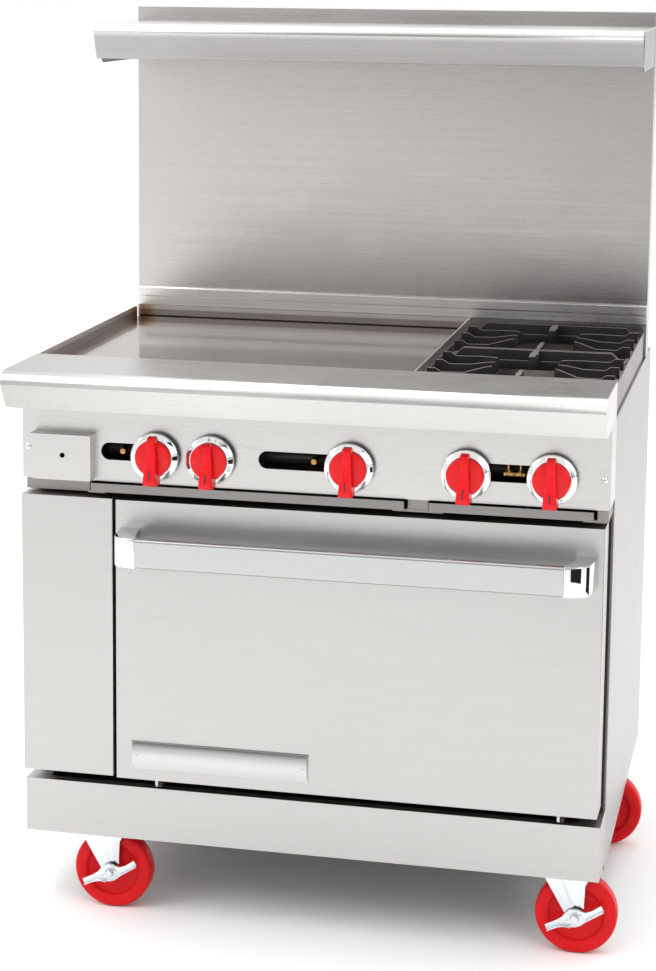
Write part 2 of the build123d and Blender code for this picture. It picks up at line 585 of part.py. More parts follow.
PILOT_X = (-299.0, 5.0, 303.0, 321.5)
PILOT_Z = KNOB_Z + 1
PILOT_R = 6.0
PILOT_LENGTH = 20.0
PILOT_TIP = 5.0
PILOT_TUBE_R = 2.5
with BuildPart() as gas_valves:
    for knob_x in KNOB_X:
        block((knob_x - 13, knob_x + 13), VALVE_Y, (KNOB_Z - 13, KNOB_Z + 13))
        rod((knob_x, VALVE_Y[0], KNOB_Z), (0, -1, 0), VALVE_Y[0] - PANEL_FACE + 17.0, STEM_R)
    for pilot_x in PILOT_X:
        rod((pilot_x, VALVE_Y[1], PILOT_Z), (0, -1, 0), PILOT_LENGTH, PILOT_R)
        rod((pilot_x, VALVE_Y[1] - PILOT_LENGTH, PILOT_Z), (0, -1, 0), PILOT_TIP, PILOT_R - 2)
    for pilot_x in PILOT_X[2:]:
        rod((pilot_x, VALVE_Y[1] - PILOT_LENGTH / 2, PILOT_Z + 4), (0, 0, 1), 24.0, PILOT_TUBE_R)
save(gas_valves, "gas_valves")

DIAL_R = 38.0
DIAL_FACE = PANEL_FACE - 19.0
DIAL_BACK = PANEL_FACE - 8.0
DISC_R = 28.5
GRIP_FACE = DIAL_FACE - 24.0
STEM_FIT = 0.06
for index, knob_x in enumerate(KNOB_X):
    number = index + 1
    with BuildPart() as dial:
        with BuildSketch(Plane(origin=(knob_x, 0, KNOB_Z), x_dir=(0, 1, 0), z_dir=(1, 0, 0))):
            with BuildLine():
                Polyline(
                    (DIAL_BACK, STEM_R + STEM_FIT),
                    (DIAL_BACK, 10.0),
                    (DIAL_BACK - 2, DIAL_R - 3),
                    (DIAL_BACK, DIAL_R),
                    (DIAL_BACK - 5, DIAL_R),
                    (DIAL_FACE, DISC_R + 2),
                    (DIAL_FACE, STEM_R + STEM_FIT),
                    (DIAL_BACK, STEM_R + STEM_FIT),
                )
            make_face()
        revolve(axis=Axis((knob_x, 0, KNOB_Z), (0, 1, 0)))
    save(dial, f"dial_{number}")
    # The thermostat's grip, the second one, stays inside its red disc at the top.
    grip_top = 28.0 if index == 1 else 35.0
    with BuildPart() as knob:
        with BuildSketch(Plane.XZ.offset(-DIAL_FACE)):
            with Locations((knob_x, KNOB_Z)):
                Circle(DISC_R)
        extrude(amount=6.0)
        with BuildSketch(Plane.XZ.offset(-DIAL_FACE)):
            with Locations((knob_x, KNOB_Z)):
                Polygon((-7.5, grip_top), (7.5, grip_top), (11.5, -41.0), (-11.5, -41.0), align=None)
        extrude(amount=DIAL_FACE - GRIP_FACE)
        fillet(knob.faces().sort_by(Axis.Y)[0].edges(), radius=2.0)
    save(knob, f"knob_{number}")

# ---------------------------------------------------------------- backguard and shelf
with BuildPart() as riser_trim:
    with BuildSketch(Plane.YZ.offset(-HALF)):
        with BuildLine():
            Polyline(
                (GUARD_FACE - 3.5, TRIM_Z[0]),
                (GUARD_FACE - 3.5, TRIM_Z[0] + 15),
                (GUARD_FACE - 7.0, TRIM_Z[0] + 17),
                (GUARD_FACE - 7.0, TRIM_Z[1] - 2),
                (GUARD_FACE - 5.0, TRIM_Z[1]),
                (GUARD_FACE - GAP, TRIM_Z[1]),
                (GUARD_FACE - GAP, TRIM_Z[0]),
                (GUARD_FACE - 3.5, TRIM_Z[0]),
            )
        make_face()
    extrude(amount=WIDTH)
save(riser_trim, "riser_trim")

GUARD_Y = (GUARD_FACE, GUARD_FACE + GUARD_DEPTH)
with BuildPart() as backguard_panel:
    pan((-HALF, HALF), GUARD_Y, (BODY_TOP + 0.5, GUARD_TOP), ("+y", "-z"))
save(backguard_panel, "backguard_panel")

with BuildPart() as backguard_back:
    block(
        (-HALF + SHEET, HALF - SHEET),
        (GUARD_Y[1] - SHEET - 2, GUARD_Y[1] - 2),
        (BODY_TOP + 0.5, GUARD_TOP - SHEET),
    )
    for post_x in (-320.0, 0.0, 320.0):
        block(
            (post_x - 15, post_x + 15),
            (GUARD_Y[0] + SHEET, GUARD_Y[1] - SHEET - 2),
            (BODY_TOP + 0.5, GUARD_TOP - 20),
        )
        block(
            (post_x - 13, post_x + 13),
            (GUARD_Y[0] + 2 * SHEET, GUARD_Y[1] - 2 * SHEET - 2),
            (BODY_TOP, GUARD_TOP - 18),
            mode=Mode.SUBTRACT,
        )
save(backguard_back, "backguard_back")

FLUE_TOP = 876.0
FLUE_Y = (GUARD_Y[1] + GAP, REAR - 1.0)
with BuildPart() as flue_cover:
    with BuildSketch(Plane.YZ.offset(-HALF + 6)):
        with BuildLine():
            Polyline(
                (FLUE_Y[0], BODY_TOP + 0.5),
                (FLUE_Y[0], FLUE_TOP),
                (FLUE_Y[1] - 20, FLUE_TOP),
                (FLUE_Y[1], BODY_TOP + 12),
                (FLUE_Y[1], BODY_TOP + 0.5),
                (FLUE_Y[0], BODY_TOP + 0.5),
            )
        make_face()
        offset(amount=-SHEET, kind=Kind.INTERSECTION, mode=Mode.SUBTRACT)
    extrude(amount=WIDTH - 12)
    for column in range(14):
        vent_x = (column - 6.5) * 58.0
        vent = ((vent_x - 22, vent_x + 22), (FLUE_Y[0] + 8, FLUE_Y[1] - 26), (FLUE_TOP - 3, FLUE_TOP + 1))
        block(*vent, mode=Mode.SUBTRACT)
save(flue_cover, "flue_cover")

SHELF_LIP_Z = 1345.3
SHELF_ROLL = 14.0
with BuildPart() as high_shelf:
    with BuildSketch(Plane.YZ.offset(-HALF)):
        with BuildLine() as outer:
            top_back = (GUARD_FACE - GAP, SHELF_TOP)
            roll_top = (SHELF_FRONT, SHELF_TOP)
            roll_front = (SHELF_FRONT - SHELF_ROLL, SHELF_TOP - SHELF_ROLL)
            Line(top_back, roll_top)
            RadiusArc(roll_top, roll_front, -SHELF_ROLL)
            Line(roll_front, (SHELF_FRONT + 2.7, SHELF_LIP_Z))
            Line((SHELF_FRONT + 2.7, SHELF_LIP_Z), (SHELF_FRONT + 16, SHELF_LIP_Z))
            Line((SHELF_FRONT + 16, SHELF_LIP_Z), (SHELF_FRONT + 16, SHELF_LIP_Z + SHEET))
            Line((SHELF_FRONT + 16, SHELF_LIP_Z + SHEET), (SHELF_FRONT + 3.9, SHELF_LIP_Z + SHEET))
            inner_front = (SHELF_FRONT - SHELF_ROLL + SHEET, SHELF_TOP - SHELF_ROLL)
            inner_top = (SHELF_FRONT, SHELF_TOP - SHEET)
            Line((SHELF_FRONT + 3.9, SHELF_LIP_Z + SHEET), inner_front)
            RadiusArc(inner_front, inner_top, SHELF_ROLL - SHEET)
            Line(inner_top, (GUARD_FACE - GAP, SHELF_TOP - SHEET))
            Line((GUARD_FACE - GAP, SHELF_TOP - SHEET), top_back)
        make_face()
    extrude(amount=WIDTH)
save(high_shelf, "high_shelf")

BRACKET_Z = (1337.0, SHELF_TOP - SHEET)
with BuildPart() as shelf_brackets:
    for side in (-1, 1):
        with BuildSketch(Plane.YZ.offset(side * (HALF - SHEET) - SHEET / 2)):
            with BuildLine():
                Polyline(
                    (GUARD_FACE - GAP, BRACKET_Z[1]),
                    (SHELF_FRONT + 18, BRACKET_Z[1]),
                    (SHELF_FRONT + 18, BRACKET_Z[0] + 12),
                    (SHELF_FRONT + 34, BRACKET_Z[0]),
                    (GUARD_FACE - GAP, BRACKET_Z[0]),
                    (GUARD_FACE - GAP, BRACKET_Z[1]),
                )
            make_face()
        extrude(amount=SHEET)
        inner = side * (HALF - SHEET - SHEET / 2)
        block(
            span(inner, inner - side * 20),
            (GUARD_FACE - GAP - SHEET, GUARD_FACE - GAP),
            BRACKET_Z,
        )
save(shelf_brackets, "shelf_brackets")

# ---------------------------------------------------------------- screws
SCREW_R = 5.0
PANEL_SCREWS = ((-448.0, 758.5), (448.6, 756.0))
with BuildPart() as fasteners:
    for screw_x, screw_z in PANEL_SCREWS:
        rod((screw_x, PANEL_FACE, screw_z), (0, -1, 0), 2.4, SCREW_R)
    for screw_x in (-420.0, -140.0, 140.0, 420.0):
        rod((screw_x, REAR, 800.0), (0, 1, 0), 2.4, SCREW_R)
        rod((screw_x, REAR, 160.0), (0, 1, 0), 2.4, SCREW_R)
    for screw_x in (-446.0, 446.0):
        for screw_z in (1350.0, 1388.0):
            rod((screw_x, GUARD_FACE - GAP - SHEET, screw_z), (0, -1, 0), 2.4, SCREW_R)
save(fasteners, "fasteners")

# ---------------------------------------------------------------- casters
WHEEL_R = 63.5
TREAD = 32.0
TRAIL = 48.0
LEG_Y = 21.5  # middle of each fork leg from the wheel's middle plane
LEG_THICK = 4.0
AXLE_R = 6.0
AXLE_FIT = 0.08
CROWN_R = 40.0
CROWN_Z = (131.5, 140.0)
RACE_Z = FRAME_Z[0] - PLATE_THICK - 0.5
CORNERS = (
    ("front_left", -STEM_X, STEM_Y[0], 1),
    ("front_right", STEM_X, STEM_Y[0], 1),
    ("rear_left", -STEM_X, STEM_Y[1], -1),
    ("rear_right", STEM_X, STEM_Y[1], 1),
)
for corner, stem_x, stem_y, turn in CORNERS:
    hub_x = stem_x + turn * TRAIL
    with BuildPart() as fork:
        rod((stem_x, stem_y, CROWN_Z[0]), (0, 0, 1), CROWN_Z[1] - CROWN_Z[0], CROWN_R)
        rod((stem_x, stem_y, CROWN_Z[1]), (0, 0, 1), RACE_Z - CROWN_Z[1], CROWN_R - 8)
        rod((stem_x, stem_y, RACE_Z + 1), (0, 0, -1), 14.0, 9.3, mode=Mode.SUBTRACT)
        for leg in (-1, 1):
            leg_plane = Plane(
                origin=(stem_x, stem_y + leg * LEG_Y, 0), x_dir=(turn, 0, 0), z_dir=(0, -turn, 0)
            )
            with BuildSketch(leg_plane):
                with BuildLine():
                    Polyline(
                        (-7, CROWN_Z[0] + 4),
                        (26, CROWN_Z[0] + 4),
                        (40, CROWN_Z[0] - 1),
                        (72, CROWN_Z[0] - 3),
                        (61, 113),
                        (TRAIL + 14, WHEEL_R),
                        (TRAIL + 8, WHEEL_R - 12),
                        (TRAIL - 8, WHEEL_R - 12),
                        (TRAIL - 14, WHEEL_R),
                        (-7, CROWN_Z[0] + 4),
                    )
                make_face()
            extrude(amount=LEG_THICK / 2, both=True)
        rod((hub_x, stem_y - LEG_Y - 6, WHEEL_R), (0, 1, 0), 2 * LEG_Y + 12, AXLE_R)
        for end in (-1, 1):
            rod((hub_x, stem_y + end * (LEG_Y + 2), WHEEL_R), (0, end, 0), 3.0, 10.0)
    save(fork, f"caster_fork_{corner}")
    with BuildPart() as wheel:
        with BuildSketch(Plane(origin=(hub_x, stem_y, WHEEL_R), x_dir=(0, 1, 0), z_dir=(1, 0, 0))):
            with BuildLine():
                Polyline(
                    (-18, AXLE_R + AXLE_FIT),
                    (-18, 15),
                    (-9, 20),
                    (-9, 44),
                    (-TREAD / 2, 49),
                    (-TREAD / 2, WHEEL_R - 4),
                    (-TREAD / 2 + 4, WHEEL_R),
                    (TREAD / 2 - 4, WHEEL_R),
                    (TREAD / 2, WHEEL_R - 4),
                    (TREAD / 2, 49),
                    (9, 44),
                    (9, 20),
                    (18, 15),
                    (18, AXLE_R + AXLE_FIT),
                    (-18, AXLE_R + AXLE_FIT),
                )
            make_face()
        revolve(axis=Axis((hub_x, stem_y, WHEEL_R), (0, 1, 0)))
    save(wheel, f"caster_wheel_{corner}")

# Toe brake levers rock on the axle ends of the two front casters
LEVER_TILT = 22.0
for corner, stem_x, stem_y, turn in CORNERS[:2]:
    hub_x = stem_x + turn * TRAIL
    lever_y = stem_y - LEG_Y - 6.5
    with BuildPart() as lever:
        with BuildSketch(Plane.XZ.offset(-lever_y)):
            with Locations(Location((hub_x, WHEEL_R, 0), (0, 0, LEVER_TILT))):
                SlotOverall(96.0, 15.0)
                Circle(15.0)
        extrude(amount=4.0)
        rod((hub_x, lever_y - 4, WHEEL_R), (0, -1, 0), 3.0, 7.0)
    save(lever, f"brake_lever_{corner}")
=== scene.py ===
"""Looks for the commercial gas range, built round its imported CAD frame. Metres, +Z up, front at -Y."""

import json
import math

import bmesh
import bpy
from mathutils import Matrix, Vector


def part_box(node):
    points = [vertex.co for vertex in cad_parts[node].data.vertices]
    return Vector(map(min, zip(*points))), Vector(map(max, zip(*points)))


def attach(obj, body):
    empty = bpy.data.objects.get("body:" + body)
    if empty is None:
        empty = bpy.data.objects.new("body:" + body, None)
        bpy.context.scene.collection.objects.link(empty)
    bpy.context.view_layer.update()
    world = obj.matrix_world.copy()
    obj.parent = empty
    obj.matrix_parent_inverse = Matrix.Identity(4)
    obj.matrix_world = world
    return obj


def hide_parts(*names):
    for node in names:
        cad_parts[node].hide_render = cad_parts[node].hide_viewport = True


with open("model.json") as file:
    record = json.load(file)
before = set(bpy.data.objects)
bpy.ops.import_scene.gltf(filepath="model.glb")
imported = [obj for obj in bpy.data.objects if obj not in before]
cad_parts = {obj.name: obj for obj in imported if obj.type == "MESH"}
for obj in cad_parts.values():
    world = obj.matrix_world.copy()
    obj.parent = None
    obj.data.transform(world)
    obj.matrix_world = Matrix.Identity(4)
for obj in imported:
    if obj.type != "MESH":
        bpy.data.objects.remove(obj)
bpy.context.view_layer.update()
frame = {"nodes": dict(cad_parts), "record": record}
scene = bpy.context.scene
scene.view_settings.view_transform = "Standard"
MM = 0.001

# ---------------- camera
camera_data = bpy.data.cameras.new("camera")
camera_data.lens = 86.3
camera_data.shift_x = 0.04
camera_data.shift_y = -0.165
camera = bpy.data.objects.new("camera", camera_data)
camera.location = (0.7448, -3.7127, 1.510)
camera.rotation_euler = [math.radians(a) for a in (81.102, -0.428, 13.0)]
scene.collection.objects.link(camera)
scene.camera = camera


# ---------------- material helpers
def feed(tree, socket, value):
    """Links an output to a socket, or sets the socket's own value."""
    if hasattr(value, "is_output"):
        tree.links.new(value, socket)
    else:
        socket.default_value = value


class Shader:
    """A material under construction: its nodes, its links and its main shader."""

    def __init__(self, name, color, roughness, metallic=0.0, **sockets):
        self.material = bpy.data.materials.new(name)
        self.material.use_nodes = True
        self.tree = self.material.node_tree
        self.bsdf = self.tree.nodes["Principled BSDF"]
        self.set("Base Color", (*color, 1.0))
        self.set("Roughness", roughness)
        self.set("Metallic", metallic)
        for key, value in sockets.items():
            self.set(key.replace("_", " "), value)
        self.normal = None

    def set(self, socket, value):
        self.bsdf.inputs[socket].default_value = value

    def node(self, kind, **inputs):
        made = self.tree.nodes.new(kind)
        for key, value in inputs.items():
            feed(self.tree, made.inputs[key.replace("_", " ")], value)
        return made

    def place(self, scale):
        """Object coordinates, stretched by one number or by one for each axis."""
        where = self.node("ShaderNodeTexCoord").outputs["Object"]
        scale = scale if isinstance(scale, tuple) else (scale,) * 3
        return self.node("ShaderNodeMapping", Vector=where, Scale=scale).outputs["Vector"]

    def axes(self, source, kind="ShaderNodeTexCoord"):
        """The x, y and z outputs of a coordinate."""
        return self.node("ShaderNodeSeparateXYZ", Vector=self.node(kind).outputs[source]).outputs

    def noise(self, scale, detail=3.0, rough=0.55, warp=0.0):
        where = self.place(scale)
        made = self.node(
            "ShaderNodeTexNoise", Vector=where, Scale=1.0, Detail=detail, Roughness=rough, Distortion=warp
        )
        return made.outputs["Fac"]

    def ramp(self, fac, stops):
        made = self.node("ShaderNodeValToRGB", Fac=fac)
        ends = made.color_ramp.elements
        while len(ends) < len(stops):
            ends.new(0.5)
        for end, (at, color) in zip(ends, stops):
            end.position = at
            end.color = (*color, 1.0)
        return made.outputs["Color"]

    def span(self, fac, low, high, start=0.25, end=0.75):
        """Maps start to end onto low to high."""
        limits = {"From_Min": start, "From_Max": end, "To_Min": low, "To_Max": high}
        return self.node("ShaderNodeMapRange", Value=fac, **limits).outputs["Result"]

    def mix(self, fac, a, b, how="MIX"):
        """Mixes colours."""
        made = self.tree.nodes.new("ShaderNodeMix")
        made.data_type = "RGBA"
        made.blend_type = how
        for index, value in ((0, fac), (6, a), (7, b)):
            feed(self.tree, made.inputs[index], (*value, 1.0) if isinstance(value, tuple) else value)
        return made.outputs[2]

    def join(self, a, b, how="ADD"):
        made = self.tree.nodes.new("ShaderNodeMath")
        made.operation = how
        for socket, value in zip(made.inputs, (a, b)):
            feed(self.tree, socket, value)
        return made.outputs[0]

    def blend(self, fac, a, b):
        """Mixes plain values."""
        made = self.tree.nodes.new("ShaderNodeMix")
        for index, value in ((0, fac), (2, a), (3, b)):
            feed(self.tree, made.inputs[index], value)
        return made.outputs[0]

    def link(self, output, socket):
        self.tree.links.new(output, self.bsdf.inputs[socket])

    def bump(self, height, strength, distance):
        made = self.node("ShaderNodeBump", Height=height, Strength=strength, Distance=distance)
        if self.normal is not None:
            self.tree.links.new(self.normal, made.inputs["Normal"])
        self.normal = made.outputs["Normal"]
        self.link(self.normal, "Normal")


def stretch(along, fine, coarse):
    """Scale for a grain that runs along one axis."""
    return tuple(coarse if axis == along else fine for axis in "xyz")


HAIR = (1500.0, 9.0)  # scale of the grain across and along its lines
STREAK = (170.0, 1.6)


def brushed(name, color, along, roughness=0.3, grain=0.05, smudge=0.05):
    """Sheet steel with a directional grain, faint streaks and handling marks."""
    s = Shader(name, color, roughness, metallic=1.0)
    # Faces that look along the grain carry an upright grain instead.
    ends = s.span(s.join(s.axes("Normal")[along.upper()], 0.0, "ABSOLUTE"), 0.0, 1.0, 0.6, 0.8)
    ways = (along, "x" if along == "z" else "z")
    hair = s.blend(ends, *[s.noise(stretch(way, *HAIR), detail=2.0) for way in ways])
    streak = s.blend(ends, *[s.noise(stretch(way, *STREAK)) for way in ways])
    cloud = s.noise(5.0, detail=4.0, warp=0.4)
    rough = s.join(s.span(hair, -grain, grain), s.span(cloud, roughness - smudge, roughness + smudge))
    rough = s.join(rough, s.span(streak, -0.02, 0.02))
    s.link(rough, "Roughness")
    dark = tuple(c * 0.95 for c in color)
    light = tuple(min(1.0, c * 1.03) for c in color)
    tone = s.join(s.span(streak, 0.0, 0.6), s.span(cloud, 0.0, 0.4))
    s.link(s.mix(tone, dark, light), "Base Color")
    s.bump(hair, 0.06, 0.00012)
    s.bump(streak, 0.03, 0.0004)
    s.bump(s.noise(2.2, detail=1.0), 0.05, 0.004)
    return s


def drifting(name, along, roughness, axis, start, end, first, last):
    """Brushed sheet whose tone drifts along an axis. The drift is painted, in place of a reflection."""
    s = brushed(name, first, along, roughness)
    streak = s.noise(stretch(along, *STREAK))
    tone = s.join(s.span(s.axes("Object")[axis], 0.0, 1.0, start, end), s.span(streak, -0.07, 0.07))
    s.link(s.mix(tone, first, last), "Base Color")
    return s.material


def worn(name, color, edge, roughness, metallic=0.0, bump=0.3, size=260.0, painted_top_highlight=None, **sockets):
    """A cast or painted surface: fine texture, blotches, lighter high spots and, where asked, upward faces
    painted lighter, a painted highlight from above.
    """
    s = Shader(name, color, roughness, metallic=metallic, **sockets)
    fine = s.noise(size, detail=6.0, rough=0.6)
    cloud = s.noise(14.0, detail=4.0)
    tone = s.mix(s.join(s.span(fine, 0.0, 0.5, 0.35, 0.8), s.span(cloud, 0.0, 0.5)), color, edge)
    # Upward faces take a lighter colour: a painted highlight from above.
    if painted_top_highlight:
        upward = s.axes("Normal", "ShaderNodeNewGeometry")["Z"]
        tone = s.mix(s.span(upward, 0.0, 1.0, 0.35, 0.75), tone, painted_top_highlight)
    s.link(tone, "Base Color")
    s.link(s.join(s.span(fine, -0.08, 0.08), s.span(cloud, roughness - 0.06, roughness + 0.06)), "Roughness")
    s.bump(fine, bump, 0.0006)
    return s.material


# The steel tones were fitted by trial. They aren't measured reflectances.
STEEL = (0.56, 0.552, 0.539)
STEELS = {
    "steel_x": ("steel_brushed_across", STEEL, "x"),
    # Side panels and shelf brackets: the same stainless sheet, its tone painted darker as painted shade.
    "steel_z": ("steel_brushed_upright", (0.38, 0.375, 0.367), "z", 0.33, 0.04, 0.025),
    # Door, cover and kick plate: the same stainless sheet, its tone painted darker as painted shade.
    "front": ("steel_front", (0.50, 0.493, 0.482), "x", 0.35, 0.05, 0.03),
    "well": ("steel_well", (0.24, 0.222, 0.215), "y", 0.36),
    "trim": ("steel_trim", (0.80, 0.785, 0.77), "x", 0.30),
    # Crumb trays: the same stainless sheet, its tone painted dark as a painted reflection.
    "tray": ("steel_trays", (0.22, 0.211, 0.205), "x", 0.14, 0.03, 0.03),
    "rail": ("steel_rails", (0.30, 0.280, 0.270), "x", 0.42),
    "satin": ("satin_bar", (0.47, 0.478, 0.480), "x", 0.20, 0.03, 0.03),
}
MATERIAL = {key: brushed(*row).material for key, row in STEELS.items()}

LEDGE_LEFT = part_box("landing_ledge")[0].x
MATERIAL["ledge"] = drifting(
    "steel_ledge", "x", 0.3, "X", LEDGE_LEFT, LEDGE_LEFT + 0.35, (0.45, 0.444, 0.433), (0.64, 0.632, 0.617)
)
PLATE_LOW, PLATE_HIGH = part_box("name_plate")
MATERIAL["badge"] = drifting(
    "badge_plate", "x", 0.13, "Z", (PLATE_LOW.z + PLATE_HIGH.z) / 2 - 0.002, PLATE_HIGH.z,
    (0.56, 0.553, 0.546), (0.24, 0.235, 0.232),
)
GUARD_LOW, GUARD_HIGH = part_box("backguard_panel")
SHELF_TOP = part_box("high_shelf")[1].z
MATERIAL["guard"] = drifting(
    "steel_backguard", "x", 0.27, "X", GUARD_LOW.x, GUARD_HIGH.x, (0.61, 0.590, 0.571), (0.46, 0.445, 0.431)
)
MATERIAL["shelf"] = drifting(
    "steel_shelf", "x", 0.26, "Z", SHELF_TOP - 0.022, SHELF_TOP - 0.008,
    (0.34, 0.333, 0.326), (0.66, 0.652, 0.64),
)


def griddle_steel():
    """Ground and polished plate: long grinding lines across, a faint straw tint and cloudy heat marks."""
    s = Shader("griddle_plate", (0.42, 0.38, 0.36), 0.12, metallic=1.0)
    hair = s.noise((12.0, 1300.0, 40.0), detail=2.0)
    cloud = s.noise((6.0, 9.0, 6.0), detail=4.0, warp=0.6)
    s.link(s.join(s.span(hair, -0.02, 0.02), s.span(cloud, 0.06, 0.12)), "Roughness")
    s.link(s.mix(s.span(cloud, 0.0, 1.0), (0.33, 0.298, 0.28), (0.39, 0.353, 0.33)), "Base Color")
    s.bump(hair, 0.08, 0.0001)
    return s.material


def galvanised():
    """Zinc-coated sheet with its flakes of different sheen."""
    s = Shader("galvanised", (0.56, 0.57, 0.58), 0.42, metallic=1.0)
    cells = s.node("ShaderNodeTexVoronoi", Vector=s.place(95.0), Scale=1.0).outputs["Color"]
    tone = s.node("ShaderNodeSeparateColor", Color=cells).outputs[0]
    s.link(s.mix(tone, (0.50, 0.51, 0.52), (0.60, 0.61, 0.62)), "Base Color")
    s.link(s.span(tone, 0.38, 0.47, 0.0, 1.0), "Roughness")
    s.bump(s.noise(300.0), 0.05, 0.0003)
    return s.material


def splash_steel():
    """Splash guards of the griddle, with a heat tint towards the rear weld.

    The dark line along the plate and the tone of each wall are painted, in place of reflections. The pale
    strip along the right end is a painted highlight.
    """
    s = brushed("griddle_splash", (0.24, 0.212, 0.20), "y", 0.36, 0.04, 0.05)
    low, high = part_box("griddle_splash")
    x, y, z = s.axes("Object")
    wobble = s.span(s.noise(40.0), -0.02, 0.02)
    near_back = s.span(s.join(y, wobble), 0.0, 1.0, high.y - 0.09, high.y - 0.004)
    near_side = s.span(x, 1.0, 0.0, low.x + 0.008, low.x + 0.035)
    heat = s.join(near_back, near_side, "MULTIPLY")
    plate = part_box("griddle_plate")[1].z
    upper = s.span(z, 0.0, 1.0, plate + 0.011, plate + 0.014)
    rear = s.mix(upper, (0.31, 0.275, 0.26), (0.60, 0.565, 0.545))
    rear = s.mix(s.span(z, 0.0, 1.0, plate + 0.001, plate + 0.0025), (0.02, 0.017, 0.016), rear)
    left = s.mix(upper, (0.46, 0.418, 0.398), (0.80, 0.745, 0.715))
    plain = s.mix(s.span(x, 1.0, 0.0, low.x + 0.003, low.x + 0.004), rear, left)
    # A pale strip along the right end: a painted highlight.
    plain = s.mix(s.span(x, 0.0, 1.0, high.x - 0.004, high.x - 0.003), plain, (0.74, 0.71, 0.68))
    tint = s.ramp(heat, ((0.0, (1.0, 1.0, 1.0)), (0.55, (0.85, 0.62, 0.38)), (1.0, (0.42, 0.28, 0.24))))
    s.link(s.mix(1.0, plain, tint, "MULTIPLY"), "Base Color")
    return s.material


def gloss_red():
    """Moulded gloss plastic with a faint ripple and finger marks."""
    gloss = {"Specular_IOR_Level": 0.22, "Coat_Weight": 0.12, "Coat_Roughness": 0.08}
    s = Shader("knob_red", (0.70, 0.006, 0.010), 0.2, **gloss)
    cloud = s.noise(60.0, detail=4.0)
    s.link(s.span(cloud, 0.16, 0.30), "Roughness")
    s.link(s.mix(s.span(cloud, 0.0, 1.0), (0.66, 0.004, 0.008), (0.74, 0.007, 0.012)), "Base Color")
    s.bump(s.noise(220.0, detail=2.0), 0.03, 0.0004)
    return s.material


def red_wheel():
    """Cast polyurethane: satin, a little dusty on the tread."""
    s = Shader("wheel_red", (0.60, 0.006, 0.009), 0.36, Specular_IOR_Level=0.16)
    cloud = s.noise(45.0, detail=5.0)
    speck = s.noise(900.0, detail=2.0)
    s.link(s.mix(s.span(cloud, 0.0, 1.0), (0.55, 0.005, 0.008), (0.66, 0.008, 0.012)), "Base Color")
    s.link(s.join(s.span(cloud, 0.30, 0.44), s.span(speck, -0.04, 0.04)), "Roughness")
    s.bump(speck, 0.05, 0.0003)
    return s.material


def chrome(name, roughness, color=(0.80, 0.80, 0.81)):
    s = Shader(name, color, roughness, metallic=1.0)
    cloud = s.noise(90.0, detail=4.0)
    s.link(s.span(cloud, roughness * 0.7, roughness * 1.4), "Roughness")
    s.bump(s.noise(30.0, detail=1.0), 0.02, 0.001)
    return s.material


def brass():
    s = Shader("brass", (0.60, 0.36, 0.13), 0.24, metallic=1.0)
    turned = s.noise((900.0, 60.0, 900.0), detail=2.0)
    cloud = s.noise(120.0, detail=4.0)
    s.link(s.mix(s.span(cloud, 0.0, 1.0), (0.42, 0.22, 0.07), (0.66, 0.40, 0.15)), "Base Color")
    s.link(s.span(turned, 0.16, 0.34), "Roughness")
    return s.material


def wool():
    s = Shader("mineral_wool", (0.72, 0.66, 0.48), 0.95)
    fibre = s.noise((90.0, 700.0, 90.0), detail=6.0, warp=2.0)
    s.link(s.mix(s.span(fibre, 0.0, 1.0), (0.55, 0.49, 0.33), (0.80, 0.75, 0.58)), "Base Color")
    s.bump(fibre, 0.8, 0.003)
    return s.material


MATERIAL |= {
    "griddle": griddle_steel(),
    "galvanised": galvanised(),
    "splash": splash_steel(),
    "knob": gloss_red(),
    "wheel": red_wheel(),
    "chrome": chrome("chrome", 0.05),
    "wire": chrome("plated_wire", 0.16, (0.68, 0.68, 0.69)),
    "zinc": chrome("bright_zinc", 0.20, (0.70, 0.73, 0.76)),
    "screw": chrome("screw_heads", 0.16, (0.72, 0.71, 0.70)),
    "brass": brass(),
    "wool": wool(),
    "enamel": worn(
        "dark_enamel", (0.026, 0.019, 0.017), (0.044, 0.034, 0.031), 0.5, bump=0.12, size=180.0,
        Specular_IOR_Level=0.2,
    ),
    "cavity": worn(
        "oven_enamel", (0.030, 0.029, 0.030), (0.075, 0.072, 0.072), 0.30, bump=0.10, size=300.0,
        Coat_Weight=0.3,
    ),
    # Cast iron: upward faces are painted lighter, a painted highlight from above.
    "iron": worn(
        "cast_iron", (0.007, 0.006, 0.007), (0.024, 0.021, 0.022), 0.5, 0.0, 0.45, 420.0,
        (0.16, 0.145, 0.14), Specular_IOR_Level=0.25,
    ),
    "pipe": worn("black_pipe", (0.035, 0.035, 0.037), (0.10, 0.095, 0.09), 0.45, 0.5, 0.3, 300.0),
    "ink": worn("print", (0.012, 0.012, 0.013), (0.03, 0.03, 0.03), 0.5, bump=0.05, size=900.0),
}

BY_SLOT = {  # a slot that isn't here has a finish of its own name
    "stainless": "steel_x",
    "dark_enamel": "enamel",
    "cast_iron": "iron",
    "black_pipe": "pipe",
    "mineral_wool": "wool",
    "satin_bar": "satin",
    "griddle_steel": "griddle",
    "screws": "screw",
    "red_plastic": "knob",
    "red_wheel": "wheel",
}
FINISHES = {
    "steel_z": "side_panel_left side_panel_right shelf_brackets",
    "front": "compartment_cover door_skin kick_plate",
    "ledge": "landing_ledge",
    "guard": "backguard_panel",
    "splash": "griddle_splash",
    "shelf": "high_shelf",
    "trim": "riser_trim",
    "well": "burner_box",
    "tray": "crumb_tray_left crumb_tray_right",
    "rail": "tray_rails",
    "wire": "oven_rack rack_guides",
    "cavity": "oven_liner oven_deck",
}
BY_NODE = {node: finish for finish, nodes in FINISHES.items() for node in nodes.split()}
SLOT_OF = {part["node"]: part["material_slot"] for part in frame["record"]["subparts"]}
BODY_OF = {node: body for body, nodes in frame["record"]["behaviour"]["bodies"].items() for node in nodes}
for node, obj in frame["nodes"].items():
    slot = SLOT_OF[node]
    finish = MATERIAL[BY_NODE.get(node, BY_SLOT.get(slot, slot))]
    obj.data.materials.clear()
    obj.data.materials.append(finish)


